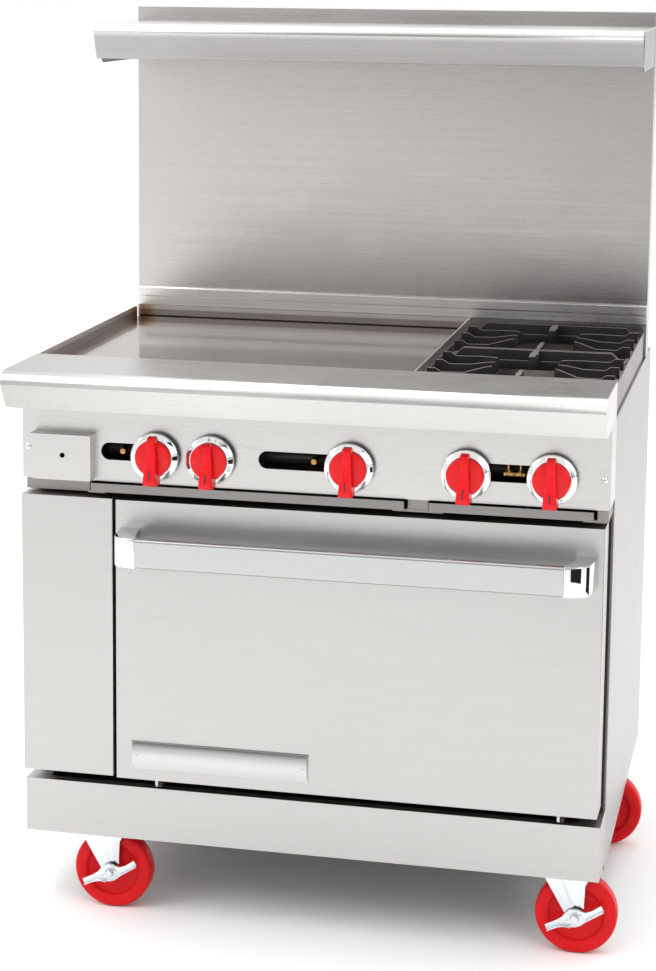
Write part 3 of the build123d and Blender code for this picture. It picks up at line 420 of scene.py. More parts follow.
# ---------------- mesh helpers
def piece(name, bm, like, finish, replaces=(), sharp=32.0):
    """Turns a bmesh into a piece that rides with the CAD node it is like."""
    bmesh.ops.remove_doubles(bm, verts=bm.verts, dist=2e-6)
    bmesh.ops.recalc_face_normals(bm, faces=bm.faces)
    mesh = bpy.data.meshes.new(name)
    bm.to_mesh(mesh)
    bm.free()
    mesh.polygons.foreach_set("use_smooth", [True] * len(mesh.polygons))
    mesh.set_sharp_from_angle(angle=math.radians(sharp))
    mesh.materials.append(MATERIAL[finish])
    obj = bpy.data.objects.new(name, mesh)
    scene.collection.objects.link(obj)
    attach(obj, BODY_OF[like])
    if replaces:
        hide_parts(*replaces)


def join_rings(bm, rings, steps):
    """Joins rings of vertices. A ring of one vertex is a point on the axis."""
    for a, b in zip(rings, rings[1:]):
        for step in range(steps):
            after = (step + 1) % steps
            quad = (a[step % len(a)], a[after % len(a)], b[after % len(b)], b[step % len(b)])
            corners = list(dict.fromkeys(quad))
            if len(corners) > 2:
                bm.faces.new(corners)


def skin(bm, rows, closed=True, caps=False):
    """Joins rows of vertices into a tube or an open sheet. caps closes a tube's ends."""
    count = len(rows[0])
    for a, b in zip(rows, rows[1:]):
        for i in range(count if closed else count - 1):
            j = (i + 1) % count
            bm.faces.new((a[i], a[j], b[j], b[i]))
    if caps:
        bm.faces.new(rows[0])
        bm.faces.new(list(reversed(rows[-1])))


def lathe(bm, centre, axis, profile, steps=96):
    """Revolves (radius, distance along the axis) points round an axis through centre."""
    centre, axis = Vector(centre), Vector(axis).normalized()
    side = axis.orthogonal().normalized()
    other = axis.cross(side)
    rings = []
    for radius, along in profile:
        if radius < 1e-7:
            rings.append([bm.verts.new(centre + axis * along)])
            continue
        ring = []
        for step in range(steps):
            angle = math.tau * step / steps
            outward = side * math.cos(angle) + other * math.sin(angle)
            ring.append(bm.verts.new(centre + axis * along + outward * radius))
        rings.append(ring)
    join_rings(bm, rings, steps)


def add(bm, part):
    """Adds one bmesh to another."""
    mesh = bpy.data.meshes.new("joined")
    part.to_mesh(mesh)
    part.free()
    bm.from_mesh(mesh)
    bpy.data.meshes.remove(mesh)


def soften(part, width, segments=2, angle=28.0):
    """Rounds every edge that is sharper than the angle."""
    bmesh.ops.recalc_face_normals(part, faces=part.faces)
    least = math.radians(angle)
    edges = [e for e in part.edges if len(e.link_faces) == 2 and e.calc_face_angle(0.0) > least]
    bmesh.ops.bevel(
        part, geom=edges, offset=width, segments=segments, affect="EDGES", profile=0.5, clamp_overlap=True
    )


def prism(bm, outline, place, thickness, bevel=0.0, segments=2):
    """Extrudes an outline of (u, v) points. place turns (u, v, w) into a point, w over the thickness."""
    part = bmesh.new()
    near = [part.verts.new(place(u, v, thickness[0])) for u, v in outline]
    far = [part.verts.new(place(u, v, thickness[1])) for u, v in outline]
    part.faces.new(near)
    part.faces.new(list(reversed(far)))
    count = len(outline)
    for i in range(count):
        j = (i + 1) % count
        part.faces.new((near[j], near[i], far[i], far[j]))
    if bevel:
        soften(part, bevel, segments)
    add(bm, part)


def level(u, v, w):
    """Places an outline seen from above."""
    return (u, v, w)


def upright(u, v, w):
    """Places an outline seen from the front."""
    return (u, w, v)


def slab(bm, low, high, bevel=0.0, segments=2):
    """A box between two corners with rounded edges."""
    outline = [(low[0], low[1]), (high[0], low[1]), (high[0], high[1]), (low[0], high[1])]
    prism(bm, outline, level, (low[2], high[2]), bevel, segments)


def arc(centre, radius, start, end, steps):
    """Points on an arc, angles in degrees."""
    points = []
    for step in range(steps + 1):
        angle = math.radians(start + (end - start) * step / steps)
        points.append((centre[0] + radius * math.cos(angle), centre[1] + radius * math.sin(angle)))
    return points


def middle(low, high):
    return (Vector(low) + Vector(high)) / 2


def in_mm(points):
    """Points given in millimetres."""
    return [(u * MM, v * MM) for u, v in points]


def rod(bm, at, axis, radius, length, steps=24):
    lathe(bm, at, axis, [(0.0, 0.0), (radius, 0.0), (radius, length), (0.0, length)], steps)


def nut(bm, x, y, radius, turn, place, span):
    """A hexagon nut round a point (x, y) of its outline, radius in mm, turn in degrees."""
    outline = []
    for k in range(6):
        angle = math.radians(60 * k + turn)
        outline.append((x + radius * math.cos(angle) * MM, y + radius * math.sin(angle) * MM))
    prism(bm, outline, place, span, 0.0005, 2)


def blend_at(table, at):
    """Smooth value between the rows of a falling (position, value, ...) table."""
    for upper, lower in zip(table, table[1:]):
        if at >= lower[0]:
            t = (upper[0] - at) / (upper[0] - lower[0])
            t = t * t * (3 - 2 * t)
            return [a + (b - a) * t for a, b in zip(upper[1:], lower[1:])]
    return list(table[-1][1:])


def screw_head(bm, centre, axis, radius, height, turn=0.0):
    """A domed head with a pressed cross recess."""
    axis = Vector(axis).normalized()
    side = axis.orthogonal().normalized()
    other = axis.cross(side)
    rings, steps = 14, 64
    grid = []
    for ring in range(rings + 1):
        r = radius * ring / rings
        row = []
        for step in range(steps if ring else 1):
            angle = math.tau * step / steps
            u, v = r * math.cos(angle), r * math.sin(angle)
            dome = height * (1.0 - (r / radius) ** 2.6 * 0.72)
            ru = u * math.cos(turn) + v * math.sin(turn)
            rv = v * math.cos(turn) - u * math.sin(turn)
            arm = min(abs(ru), abs(rv))
            reach = max(abs(ru), abs(rv))
            if arm < 0.13 * radius and reach < 0.56 * radius:
                dome -= height * 0.75 * (1.0 - reach / (0.56 * radius)) ** 0.35
            row.append(bm.verts.new(centre + side * u + other * v + axis * dome))
        grid.append(row)
    grid.append([bm.verts.new(vert.co - axis * (axis.dot(vert.co - centre))) for vert in grid[-1]])
    join_rings(bm, grid, steps)


def islands(node):
    """The (low, high) corners of each separate solid of a CAD node."""
    part = bmesh.new()
    part.from_mesh(frame["nodes"][node].data)
    bmesh.ops.remove_doubles(part, verts=part.verts, dist=1e-5)
    seen, found = set(), []
    for start in part.verts:
        if start.index in seen:
            continue
        stack, points = [start], []
        seen.add(start.index)
        while stack:
            vert = stack.pop()
            points.append(vert.co.copy())
            for edge in vert.link_edges:
                far = edge.other_vert(vert)
                if far.index not in seen:
                    seen.add(far.index)
                    stack.append(far)
        found.append(tuple(Vector([f(p[i] for p in points) for i in range(3)]) for f in (min, max)))
    part.free()
    return sorted(found, key=lambda corners: tuple(corners[0]))


# ---------------- soft edges on the carried-over sheet metal
SOFT_EDGES = {  # width in mm, and the nodes that have it
    0.4: (
        "landing_ledge high_shelf shelf_brackets crumb_tray_left crumb_tray_right grease_drawer "
        "flue_cover"
    ),
    0.5: (
        "side_panel_left side_panel_right kick_plate compartment_cover door_skin control_panel "
        "riser_trim backguard_panel oven_front_frame"
    ),
    0.6: "burner_box base_frame",
    0.8: "griddle_splash",
    1.0: "griddle_plate",
}
for width, nodes in SOFT_EDGES.items():
    for obj in (frame["nodes"][node] for node in nodes.split()):
        weld = obj.modifiers.new("weld", "WELD")
        weld.merge_threshold = 1e-5
        bevel = obj.modifiers.new("bevel", "BEVEL")
        bevel.width = width * MM
        bevel.segments = 2
        bevel.limit_method = "ANGLE"
        bevel.angle_limit = math.radians(40.0)
        bevel.harden_normals = True


# ---------------- knobs
CONE = ((36.4, 6.0), (30.6, 10.7))  # sloping printed face of the ring: radius and height above its back, mm
RING_HEIGHT = 11.0  # mm, where the knob sits on the ring
GRIP_DEPTH = 23.95  # mm, the most that the grip may stand out


def ring_marks(bm, centre, back, angle, outlines):
    """Flat marks on the sloping face, as outlines of (u, v) in mm with v as the radius."""
    (r0, h0), (r1, h1) = CONE
    for outline in outlines:
        verts = []
        for u, v in outline:
            at = math.radians(angle) - u / v
            height = h0 + (h1 - h0) * (r0 - v) / (r0 - r1) + 0.06
            x, z = centre.x + v * math.cos(at) * MM, centre.z + v * math.sin(at) * MM
            verts.append(bm.verts.new((x, back - height * MM, z)))
        bm.faces.new(verts)


def digits(text, height, radius):
    """Outline faces of a number, centred, standing on the radius, in mm."""
    curve = bpy.data.curves.new("number", "FONT")
    curve.body = text
    curve.size = height
    curve.align_x = "CENTER"
    curve.align_y = "CENTER"
    curve.resolution_u = 2
    curve.offset = 0.10
    holder = bpy.data.objects.new("number", curve)
    scene.collection.objects.link(holder)
    bpy.context.view_layer.update()
    mesh = bpy.data.meshes.new_from_object(holder.evaluated_get(bpy.context.evaluated_depsgraph_get()))
    points = [(vert.co.x, vert.co.y + radius) for vert in mesh.vertices]
    faces = [[points[i] for i in polygon.vertices] for polygon in mesh.polygons]
    bpy.data.objects.remove(holder)
    bpy.data.curves.remove(curve)
    bpy.data.meshes.remove(mesh)
    return faces


def make_knob(number):
    dial = f"dial_{number}"
    low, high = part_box(dial)
    centre = middle(low, high)
    back = high.y
    radius = (high.x - low.x) / 2 / MM
    origin = Vector((centre.x, back, centre.z))
    thermostat = number == 2

    ring = bmesh.new()
    profile = [
        (4.1, 0.0), (radius * 0.90, 0.0), (radius - 0.7, 0.4), (radius, 1.2), (radius, 4.4),
        (radius - 0.35, 5.2), (radius - 0.9, 5.8), *CONE, (30.2, 10.95), (29.8, RING_HEIGHT), (29.3, 10.9),
        (29.0, 10.5), (28.9, 9.6), (4.1, 9.6), (4.1, 0.0),
    ]
    lathe(ring, origin, (0, -1, 0), in_mm(profile), 128)
    piece(f"dial_ring_{number}", ring, dial, "chrome", (dial,))

    if thermostat:
        marks = bmesh.new()
        temperatures = ("0", "150", "200", "250", "300", "350", "400", "450", "500")
        tick = [(-0.45, 31.6), (0.45, 31.6), (0.45, 35.6), (-0.45, 35.6)]
        for index, label in enumerate(temperatures):
            angle = 90.0 - 36.0 * index
            ring_marks(marks, centre, back, angle, digits(label, 6.4, 33.4))
            ring_marks(marks, centre, back, angle - 18.0, [tick])
        piece(f"dial_marks_{number}", marks, dial, "ink")

    knob = f"knob_{number}"
    face = back - RING_HEIGHT * MM
    body = bmesh.new()
    disc = [
        (0.0, -1.2), (28.3, -1.2), (28.45, 0.3), (28.4, 2.6), (27.9, 4.0), (26.6, 5.0), (24.5, 5.4),
        (12.0, 5.7), (0.0, 5.8),
    ]
    lathe(body, (centre.x, face, centre.z), (0, -1, 0), in_mm(disc), 96)
    top = 28.0 if thermostat else (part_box(knob)[1].z - centre.z) / MM
    bottom = -41.0
    # height from the centre, half width and depth of the grip, from its top to its bottom
    table = [
        (top, 6.6, 12.0), (top - 4.0, 7.4, 14.6), (12.0, 8.4, 16.0), (-4.0, 9.3, 17.2),
        (-16.0, 10.1, 20.6), (-28.0, 10.9, 23.3), (-34.0, 11.3, 23.9), (-38.0, 11.4, 23.2),
        (bottom, 10.9, 20.0),
    ]
    stations = [top, top - 0.5, top - 1.6, top - 4.0]
    stations += [top - 4.0 - (top - 4.0 + 36.0) * k / 22 for k in range(1, 23)]
    stations += [-37.5, -39.0, -40.2, bottom]
    sections = []
    for z in stations:
        half, depth = blend_at(table, z)
        depth = min(depth, GRIP_DEPTH)
        shrink = 1.0
        for end in (top, bottom):
            inside = abs(end - z)
            if inside < 2.4:
                shrink = min(shrink, 1.0 - 0.24 * (1.0 - inside / 2.4) ** 2)
        half *= 0.5 + shrink / 2
        depth *= shrink
        r = min(2.6, depth * 0.3)
        outline = [(-half, 0.0), (-half * 0.97, depth * 0.35)]
        outline += [(-half * 0.93 + r + x, depth - r + y) for x, y in arc((0, 0), r, 180, 90, 5)]
        waist = 0.35 if -6.0 < z < top - 4.0 else 0.0
        outline += [(0.0, depth + waist * 0.6)]
        outline += [(half * 0.93 - r + x, depth - r + y) for x, y in arc((0, 0), r, 90, 0, 5)]
        outline += [(half * 0.97, depth * 0.35), (half, 0.0)]
        height = centre.z + z * MM
        sections.append([body.verts.new((centre.x + x * MM, face - y * MM, height)) for x, y in outline])
    skin(body, sections, caps=True)
    piece(f"knob_grip_{number}", body, knob, "knob", (knob,), sharp=50.0)

    line = bmesh.new()
    rows = []
    for k in range(13):
        z = -15.0 - 17.0 * k / 12
        depth = blend_at(table, z)[1]
        lift = 0.12 if 0 < k < 12 else -0.1
        y = face - (min(depth, GRIP_DEPTH) + lift) * MM
        rows.append([line.verts.new((centre.x + x * MM, y, centre.z + z * MM)) for x in (-1.2, 0.0, 1.2)])
    skin(line, rows, closed=False)
    piece(f"knob_line_{number}", line, knob, "ink")


for knob_number in range(1, 6):
    make_knob(knob_number)


# ---------------- door handle ends
def make_handle_ends():
    low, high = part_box("handle_ends")
    bar_low, bar_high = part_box("handle_bar")
    bm = bmesh.new()
    for inner, side, outer in ((bar_low.x, -1, low.x), (bar_high.x, 1, high.x)):
        reach = abs(outer - inner)
        front, back = low.y, high.y
        depth = back - front
        outline = [(0.0, front)]
        for k in range(1, 17):
            angle = math.radians(82 * k / 16)
            outline.append((reach * 0.84 * math.sin(angle), front + depth * 0.27 * (1 - math.cos(angle))))
        outline += [(reach, back), (reach * 0.26, back), (0.006, front + 0.026), (0.0, front + 0.0150)]
        outline = [(inner + side * x, y) for x, y in outline]
        if side < 0:
            outline.reverse()
        prism(bm, outline, level, (low.z, high.z), 0.0011, 3)
    piece("handle_castings", bm, "handle_ends", "chrome", ("handle_ends",))


make_handle_ends()


# ---------------- blank badge plate
def make_badge():
    low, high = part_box("name_plate")
    bm = bmesh.new()
    y = high.y
    slab(bm, (low.x, y - 0.0012, low.z), (high.x, y, high.z), 0.0005, 2)
    crown = bmesh.new()
    rows = []
    for k in range(25):
        t = -1 + 2 * k / 24
        z = (low.z + high.z) / 2 + t * ((high.z - low.z) / 2 - 0.002)
        lift = 0.0013 + 0.0022 * (1 - t * t)
        rows.append([crown.verts.new((x, y - lift, z)) for x in (low.x + 0.002, high.x - 0.002)])
    skin(crown, rows, closed=False)
    add(bm, crown)
    part = bmesh.new()
    outer = [(low.x, low.z), (high.x, low.z), (high.x, high.z), (low.x, high.z)]
    rings = []
    corner = 0.0032
    rim = ((0.0002, 0.0010), (0.0005, 0.0018), (0.0011, 0.0020), (0.0018, 0.0018), (0.0024, 0.0012))
    for inset, height in rim:
        ring = []
        for (x, z), sx, sz, start in zip(outer, (1, -1, -1, 1), (1, 1, -1, -1), (180, 270, 0, 90)):
            turned = arc((x + sx * (inset + corner), z + sz * (inset + corner)), corner, start, start + 90, 5)
            ring += [part.verts.new((px, y - height, pz)) for px, pz in turned]
        rings.append(ring)
    skin(part, rings)
    add(bm, part)
    for x in (low.x + 0.009, high.x - 0.009):
        rivet = [(0.0, 0.0007), (0.0012, 0.0006), (0.0019, 0.0002), (0.002, -0.0004)]
        lathe(bm, (x, y - 0.0033, (low.z + high.z) / 2), (0, -1, 0), rivet, 24)
    piece("badge_blank", bm, "name_plate", "badge", ("name_plate",))


make_badge()


# ---------------- pan that closes the bottom
def make_bottom_pan():
    """A thin enamelled sheet on the base frame with raised edges and ribs. The CAD has no such part. It is
    dark enamel so that the gap under the door reads dark: partly a real bottom panel, partly painted shade.
    """
    low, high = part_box("base_frame")
    margin = 0.006
    x0, x1 = low.x + margin, high.x - margin
    y0, y1 = low.y + margin, high.y - margin
    z = high.z + 0.0004
    bm = bmesh.new()
    slab(bm, (x0, y0, z), (x1, y1, z + 0.001), 0.0003, 1)
    for x in (x0, x1 - 0.0012):
        slab(bm, (x, y0, z), (x + 0.0012, y1, z + 0.0014), 0.0003, 1)
    for k in range(7):
        y = y0 + 0.06 + (y1 - y0 - 0.12) * k / 6
        rib = bmesh.new()
        rows = []
        for t in range(9):
            angle = math.pi * t / 8
            rise = z + 0.0008 + 0.0008 * math.sin(angle)
            across = y - 0.006 * math.cos(angle)
            rows.append([rib.verts.new((x, across, rise)) for x in (x0 + 0.05, x1 - 0.05)])
        skin(rib, rows, closed=False)
        add(bm, rib)
    piece("bottom_pan", bm, "oven_front_frame", "enamel")


make_bottom_pan()


# ---------------- screws
def make_screws():
    bm = bmesh.new()
    for low, high in islands("fasteners"):
        size = high - low
        thin = min(range(3), key=lambda i: size[i])
        centre = middle(low, high)
        radius = max(size) / 2
        axis = Vector((0, 0, 0))
        axis[thin] = -1.0 if centre[thin] < 0.36 else 1.0
        seat = centre.copy()
        seat[thin] = high[thin] if axis[thin] < 0 else low[thin]
        screw_head(bm, seat, axis, radius, size[thin], centre.x * 37.0)
    piece("screw_heads", bm, "fasteners", "screw", ("fasteners",))


make_screws()


# ---------------- grates and burners
def finger(bm, path, foot, crest, thickness=0.0048):
    """A cast blade along a path of (x, y) with its foot and crest heights at each point."""
    part = bmesh.new()
    rows = []
    for index, (x, y) in enumerate(path):
        before, after = Vector(path[max(index - 1, 0)]), Vector(path[min(index + 1, len(path) - 1)])
        along = (after - before).normalized()
        side = Vector((-along.y, along.x)) * thickness / 2
        bottom, top = foot[index], crest[index]
        belly, shoulder = (bottom + top) / 2, top - 0.0006
        section = (
            (-1.0, bottom), (-1.05, belly), (-0.62, shoulder), (0.0, top),
            (0.62, shoulder), (1.05, belly), (1.0, bottom),
        )
        rows.append([part.verts.new((x + side.x * out, y + side.y * out, z)) for out, z in section])
    skin(part, rows, caps=True)
    add(bm, part)


def stub(bm, centre_x, start_y, end_y, bottom, top, half):
    """A short bar towards the burner with a waist and a rounded tip."""
    way = 1 if end_y > start_y else -1
    length = abs(end_y - start_y)
    waist = [
        (-half * 0.75, 0), (-half * 0.75, length * 0.30), (-half, length * 0.42), (-half, length * 0.62),
        (-half * 0.72, length * 0.72),
    ]
    tip = [(x, length - half * 0.8 + y) for x, y in arc((0, 0), half * 0.8, 180, 0, 8)]
    outline = waist + tip + [(-x, y) for x, y in reversed(waist)]
    outline = [(centre_x + x, start_y + way * y) for x, y in outline]
    if way < 0:
        outline.reverse()
    prism(bm, outline, level, (bottom, top), 0.0014, 2)


def make_grate(name):
    low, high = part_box(name)
    bottom, top = low.z, high.z
    rim_top = bottom + 0.015
    rim = 0.009
    reach = 0.074  # of the stubs, from the rim towards the burner
    bm = bmesh.new()
    centre = middle(low, high)
    frame_bars = (
        ((low.x, low.y), (low.x + rim, high.y)),
        ((high.x - rim, low.y), (high.x, high.y)),
        ((low.x, low.y), (high.x, low.y + rim)),
        ((low.x, high.y - rim), (high.x, high.y)),
    )
    for (x0, y0), (x1, y1) in frame_bars:
        slab(bm, (x0, y0, bottom), (x1, y1, rim_top), 0.0014, 2)
    # Long blades along the front and the rear, with sloping ends.
    for y in (low.y + 0.0035, high.y - 0.0035):
        slope = (0.004, 0.012, 0.026)
        xs = [low.x + d for d in slope] + [centre.x] + [high.x - d for d in reversed(slope)]
        heights = [rim_top, rim_top + 0.004] + [top - 0.002] * 3 + [rim_top + 0.004, rim_top]
        finger(bm, [(x, y) for x in xs], [rim_top - 0.004] * 7, heights, 0.006)
    span_x = (high.x - low.x) / 2
    spread = (high.y - low.y) * 0.283
    for side in (-1, 1):
        root = centre.x + side * (span_x - 0.002)
        for row in (-1, 0, 1):
            y0, y1 = centre.y + row * spread, centre.y + row * spread * 0.5
            bend = centre.x + side * span_x * 0.60
            tip = centre.x + side * 0.050
            steps = [(root, y0), (root - side * 0.013, y0), (root - side * 0.022, y0), (bend, y0)]
            for t in (0.25, 0.5, 0.75, 1.0):
                steps.append((bend + (tip - bend) * t, y0 + (y1 - y0) * t))
            crest = [top - d for d in (0.001, 0.001, 0.0068, 0.0062, 0.0045, 0.003, 0.0016, 0.001)]
            foot = [bottom + d for d in (0.002, 0.0015, 0.001, 0.001, 0.001, 0.001, 0.003)] + [top - 0.020]
            finger(bm, steps, foot, crest)
    stub(bm, centre.x, high.y - 0.004, high.y - reach, rim_top - 0.004, top - 0.001, 0.0068)
    stub(bm, centre.x, low.y + 0.004, low.y + reach, rim_top - 0.004, top - 0.001, 0.0046)
    piece(f"{name}_casting", bm, name, "iron", (name,), sharp=40.0)


make_grate("grate_front")
make_grate("grate_rear")


TUBE = 0.118  # length of a venturi


def make_burners():
    """Two lift-off cast burner rings with ports, on their venturi tubes, joined to the gas line."""
    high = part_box("open_burners")[1]
    grates = [middle(*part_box(name)) for name in ("grate_front", "grate_rear")]
    profile = [
        (15.0, 1.0), (15.0, 18.0), (17.0, 20.5), (30.0, 24.0), (38.0, 23.6), (42.0, 21.6), (44.4, 18.0),
        (45.6, 12.0), (45.8, 9.0), (44.6, 6.5), (40.0, 4.0), (34.0, 1.0), (15.0, 1.0),
    ]
    cap = [(0.0, -0.004), (0.026, -0.004), (0.034, 0.001), (0.030, 0.003), (0.0, 0.003)]
    tube = [
        (0.0, 0.0), (0.0085, 0.0), (0.0095, 0.004), (0.0075, 0.03), (0.0075, 0.06), (0.0105, 0.10),
        (0.0105, TUBE), (0.0, TUBE),
    ]
    bm = bmesh.new()
    for place in grates:
        head = Vector((place.x, place.y, high.z - 0.024))
        part = bmesh.new()
        lathe(part, head, (0, 0, 1), in_mm(profile), 120)
        part.verts.ensure_lookup_table()
        ports = []
        for face in part.faces:
            offset = face.calc_center_median() - Vector((head.x, head.y, 0.0))
            sector = int(round(math.degrees(math.atan2(offset.y, offset.x)) / 3 - 0.5))
            on_wall = 0.0432 < offset.xy.length < 0.0452 and head.z + 0.0115 < offset.z
            if on_wall and sector % 3 == 0:
                ports.append(face)
        bmesh.ops.inset_individual(part, faces=ports, thickness=0.0003, depth=-0.0022)
        add(bm, part)
        lathe(bm, head, (0, 0, 1), cap, 64)
    for place in grates:
        lathe(bm, (place.x, place.y - TUBE, 0.811), (0, 1, 0), tube, 40)
    front, rear = grates
    link = [(0.004, 0.0), (0.004, rear.y - TUBE - front.y)]
    lathe(bm, (front.x, front.y, 0.808), (0, 1, 0), link, 24)
    piece("burner_castings", bm, "open_burners", "iron", ("open_burners",), sharp=40.0)


make_burners()


# ---------------- gas valves and pilot fittings
def make_valves():
    """Brass valve bodies with their stems, adjusting screws behind the slots, and the twin pilot tee."""
    low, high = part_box("gas_valves")
    bm = bmesh.new()
    back = high.y
    reach = back - low.y
    body = [
        (0.0, 0.0), (0.0125, 0.0), (0.013, 0.0006), (0.013, 0.009), (0.0112, 0.0105), (0.0112, 0.018),
        (0.0085, 0.0205), (0.0, 0.0218),
    ]
    stem = [(0.0, 0.02), (0.0039, 0.02), (0.0039, reach - 0.0008), (0.0032, reach), (0.0, reach)]
    for number in range(1, 6):
        centre = middle(*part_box(f"dial_{number}"))
        axis_z = centre.z
        for profile, steps in ((body, 40), (stem, 24)):
            lathe(bm, (centre.x, back, centre.z), (0, -1, 0), profile, steps)

    def adjuster(x, z, front):
        at = Vector((x, back, z))
        neck = front - 0.003
        shank = [(0.0, 0.0), (0.0058, 0.0), (0.0058, 0.008), (0.0040, 0.0095), (0.0040, neck), (0.0, neck)]
        lathe(bm, at, (0, -1, 0), shank, 28)
        head = [
            (0.0, front - 0.0034), (0.0046, front - 0.0034), (0.0048, front - 0.0028),
            (0.0048, front - 0.0012), (0.0042, front - 0.0004), (0.0, front),
        ]
        lathe(bm, at, (0, -1, 0), head, 32)
        y = back - front
        slab(bm, (x - 0.0040, y - 0.0003, z - 0.0005), (x + 0.0040, y + 0.0010, z + 0.0005), 0.0002, 1)

    for x in (-0.299, 0.005):
        adjuster(x, axis_z + 0.001, 0.025)
        tube = bmesh.new()
        rows = []
        for k in range(13):
            angle = math.radians(100 - 130 * k / 12)
            z = axis_z + 0.001 + 0.009 * math.sin(angle)
            point = Vector((x + 0.004 + 0.011 * math.cos(angle), back - 0.016, z))
            out = Vector((math.cos(angle), 0.0, math.sin(angle)))
            row = []
            for a in (0.0, 1.57, 3.14, 4.71):
                aside = Vector((0, 0.0007 * math.sin(a), 0))
                row.append(tube.verts.new(point + out * 0.0007 * math.cos(a) + aside))
            rows.append(row)
        skin(tube, rows)
        add(bm, tube)

    # The tee: a level body under two nuts with tubes rising behind the panel
    pair = (0.303, 0.3215)
    bar_z = axis_z - 0.0015
    y = back - 0.020
    low_end = (pair[0] - 0.0075, y - 0.0035, bar_z - 0.0035)
    slab(bm, low_end, (pair[1] + 0.0075, y + 0.0035, bar_z + 0.0030), 0.0009, 2)
    plug = [(0.0, 0.0), (0.0030, 0.0), (0.0030, 0.0014), (0.0022, 0.0019), (0.0, 0.0019)]
    for x in pair:
        nut(bm, x, y, 5.0, 30, level, (bar_z + 0.0026, bar_z + 0.0062))
        rod(bm, (x, y, bar_z + 0.005), (0, 0, 1), 0.0024, 0.020)
        lathe(bm, (x, y - 0.003, bar_z), (0, -1, 0), plug, 24)
        rod(bm, (x, back, bar_z), (0, -1, 0), 0.0042, 0.018)
    screw_head(bm, Vector((sum(pair) / 2, y - 0.0033, bar_z - 0.0010)), (0, -1, 0), 0.0028, 0.0016, 0.6)
    piece("valve_bodies", bm, "gas_valves", "brass", ("gas_valves",), sharp=35.0)


make_valves()


# ---------------- casters
def wheel_piece(corner):
    node = f"caster_wheel_{corner}"
    low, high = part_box(node)
    centre = middle(low, high)
    outer = (high.x - low.x) / 2 / MM
    profile = [
        (6.1, -17.8), (9.5, -17.8), (14.0, -17.0), (15.6, -15.4), (17.0, -10.5), (20.0, -9.2),
        (38.0, -9.4), (41.5, -10.6), (43.2, -14.4), (45.0, -15.6), (50.0, -16.0), (outer - 5.0, -15.8),
        (outer - 2.0, -14.2), (outer - 0.4, -11.0), (outer, -6.5), (outer, 0.0),
    ]
    profile += [(r, -h) for r, h in reversed(profile[:-1])] + profile[:1]
    bm = bmesh.new()
    lathe(bm, centre, (0, 1, 0), in_mm(profile), 128)
    piece(f"wheel_{corner}_casting", bm, node, "wheel", (node,), sharp=38.0)


def fork_piece(corner, stem, hub):
    """A pressed fork: ball race, crown plate, two ribbed legs, axle bolt and nut."""
    node = f"caster_fork_{corner}"
    low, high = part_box(node)
    way = 1 if hub.x > stem.x else -1
    bm = bmesh.new()
    race = [
        (9.5, 0.0), (24.0, 0.0), (36.0, 0.6), (39.4, 2.2), (39.6, 4.4), (37.0, 6.2), (33.5, 6.8),
        (31.8, 8.0), (31.6, 11.0), (30.4, 13.2), (27.0, 13.9), (9.5, 13.9), (9.5, 0.0),
    ]
    crown_low = high.z - 0.0140
    lathe(bm, (stem.x, stem.y, crown_low), (0, 0, 1), in_mm(race), 96)
    top = crown_low + 0.0030
    drop, foot = hub.z, hub.x
    ear = 0.0138  # half width of a leg's foot
    for leg in (-1, 1):
        y = stem.y + leg * 0.0215
        outline = [
            (stem.x - way * 0.0070, top), (stem.x + way * 0.026, top), (stem.x + way * 0.040, top - 0.0045),
            (stem.x + way * 0.0705, top - 0.0065), (stem.x + way * 0.0630, 0.114),
            (foot + way * 0.0135, drop + 0.020), (foot + way * ear, drop),
        ]
        for a in (30, 60, 90, 120, 150):
            angle = math.radians(a)
            outline.append((foot + way * ear * math.cos(angle), drop - 0.0118 * math.sin(angle)))
        outline += [(foot - way * ear, drop)]
        if way < 0:
            outline.reverse()
        prism(bm, outline, upright, (y - 0.0019, y + 0.0019), 0.0009, 2)
        # A pressed rib down the middle of the leg
        rib = bmesh.new()
        rows = []
        for t in [k / 10 for k in range(11)]:
            z = top - 0.006 - (top - 0.006 - drop - 0.016) * t
            x = stem.x + way * (0.027 + (0.048 - 0.027) * t)
            bulge = 0.0013 * min(1.0, 4 * t, 4 * (1 - t))
            section = ((-0.0065, 0.0), (-0.003, 0.8), (0.0, 1.0), (0.003, 0.8), (0.0065, 0.0))
            points = [(x + dx, y + leg * (0.0018 + bulge * lift), z) for dx, lift in section]
            rows.append([rib.verts.new(point) for point in points])
        skin(rib, rows, closed=False)
        add(bm, rib)
    length = high.y - low.y - 0.004
    bolt = [(0.0, 0.0), (0.0055, 0.0), (0.0058, 0.0006), (0.0058, length), (0.0, length)]
    lathe(bm, (hub.x, low.y + 0.002, hub.z), (0, 1, 0), bolt, 32)
    washer = [(0.0, 0.0), (0.0095, 0.0), (0.0095, 0.0009), (0.0, 0.0011)]
    for end in (-1, 1):
        y = stem.y + end * 0.0235
        lathe(bm, (hub.x, y, hub.z), (0, end, 0), washer, 40)
        nut(bm, hub.x, hub.z, 8.0, 12 * end, upright, sorted((y + end * 0.001, y + end * 0.0030)))
    piece(f"fork_{corner}_pressing", bm, node, "zinc", (node,), sharp=35.0)


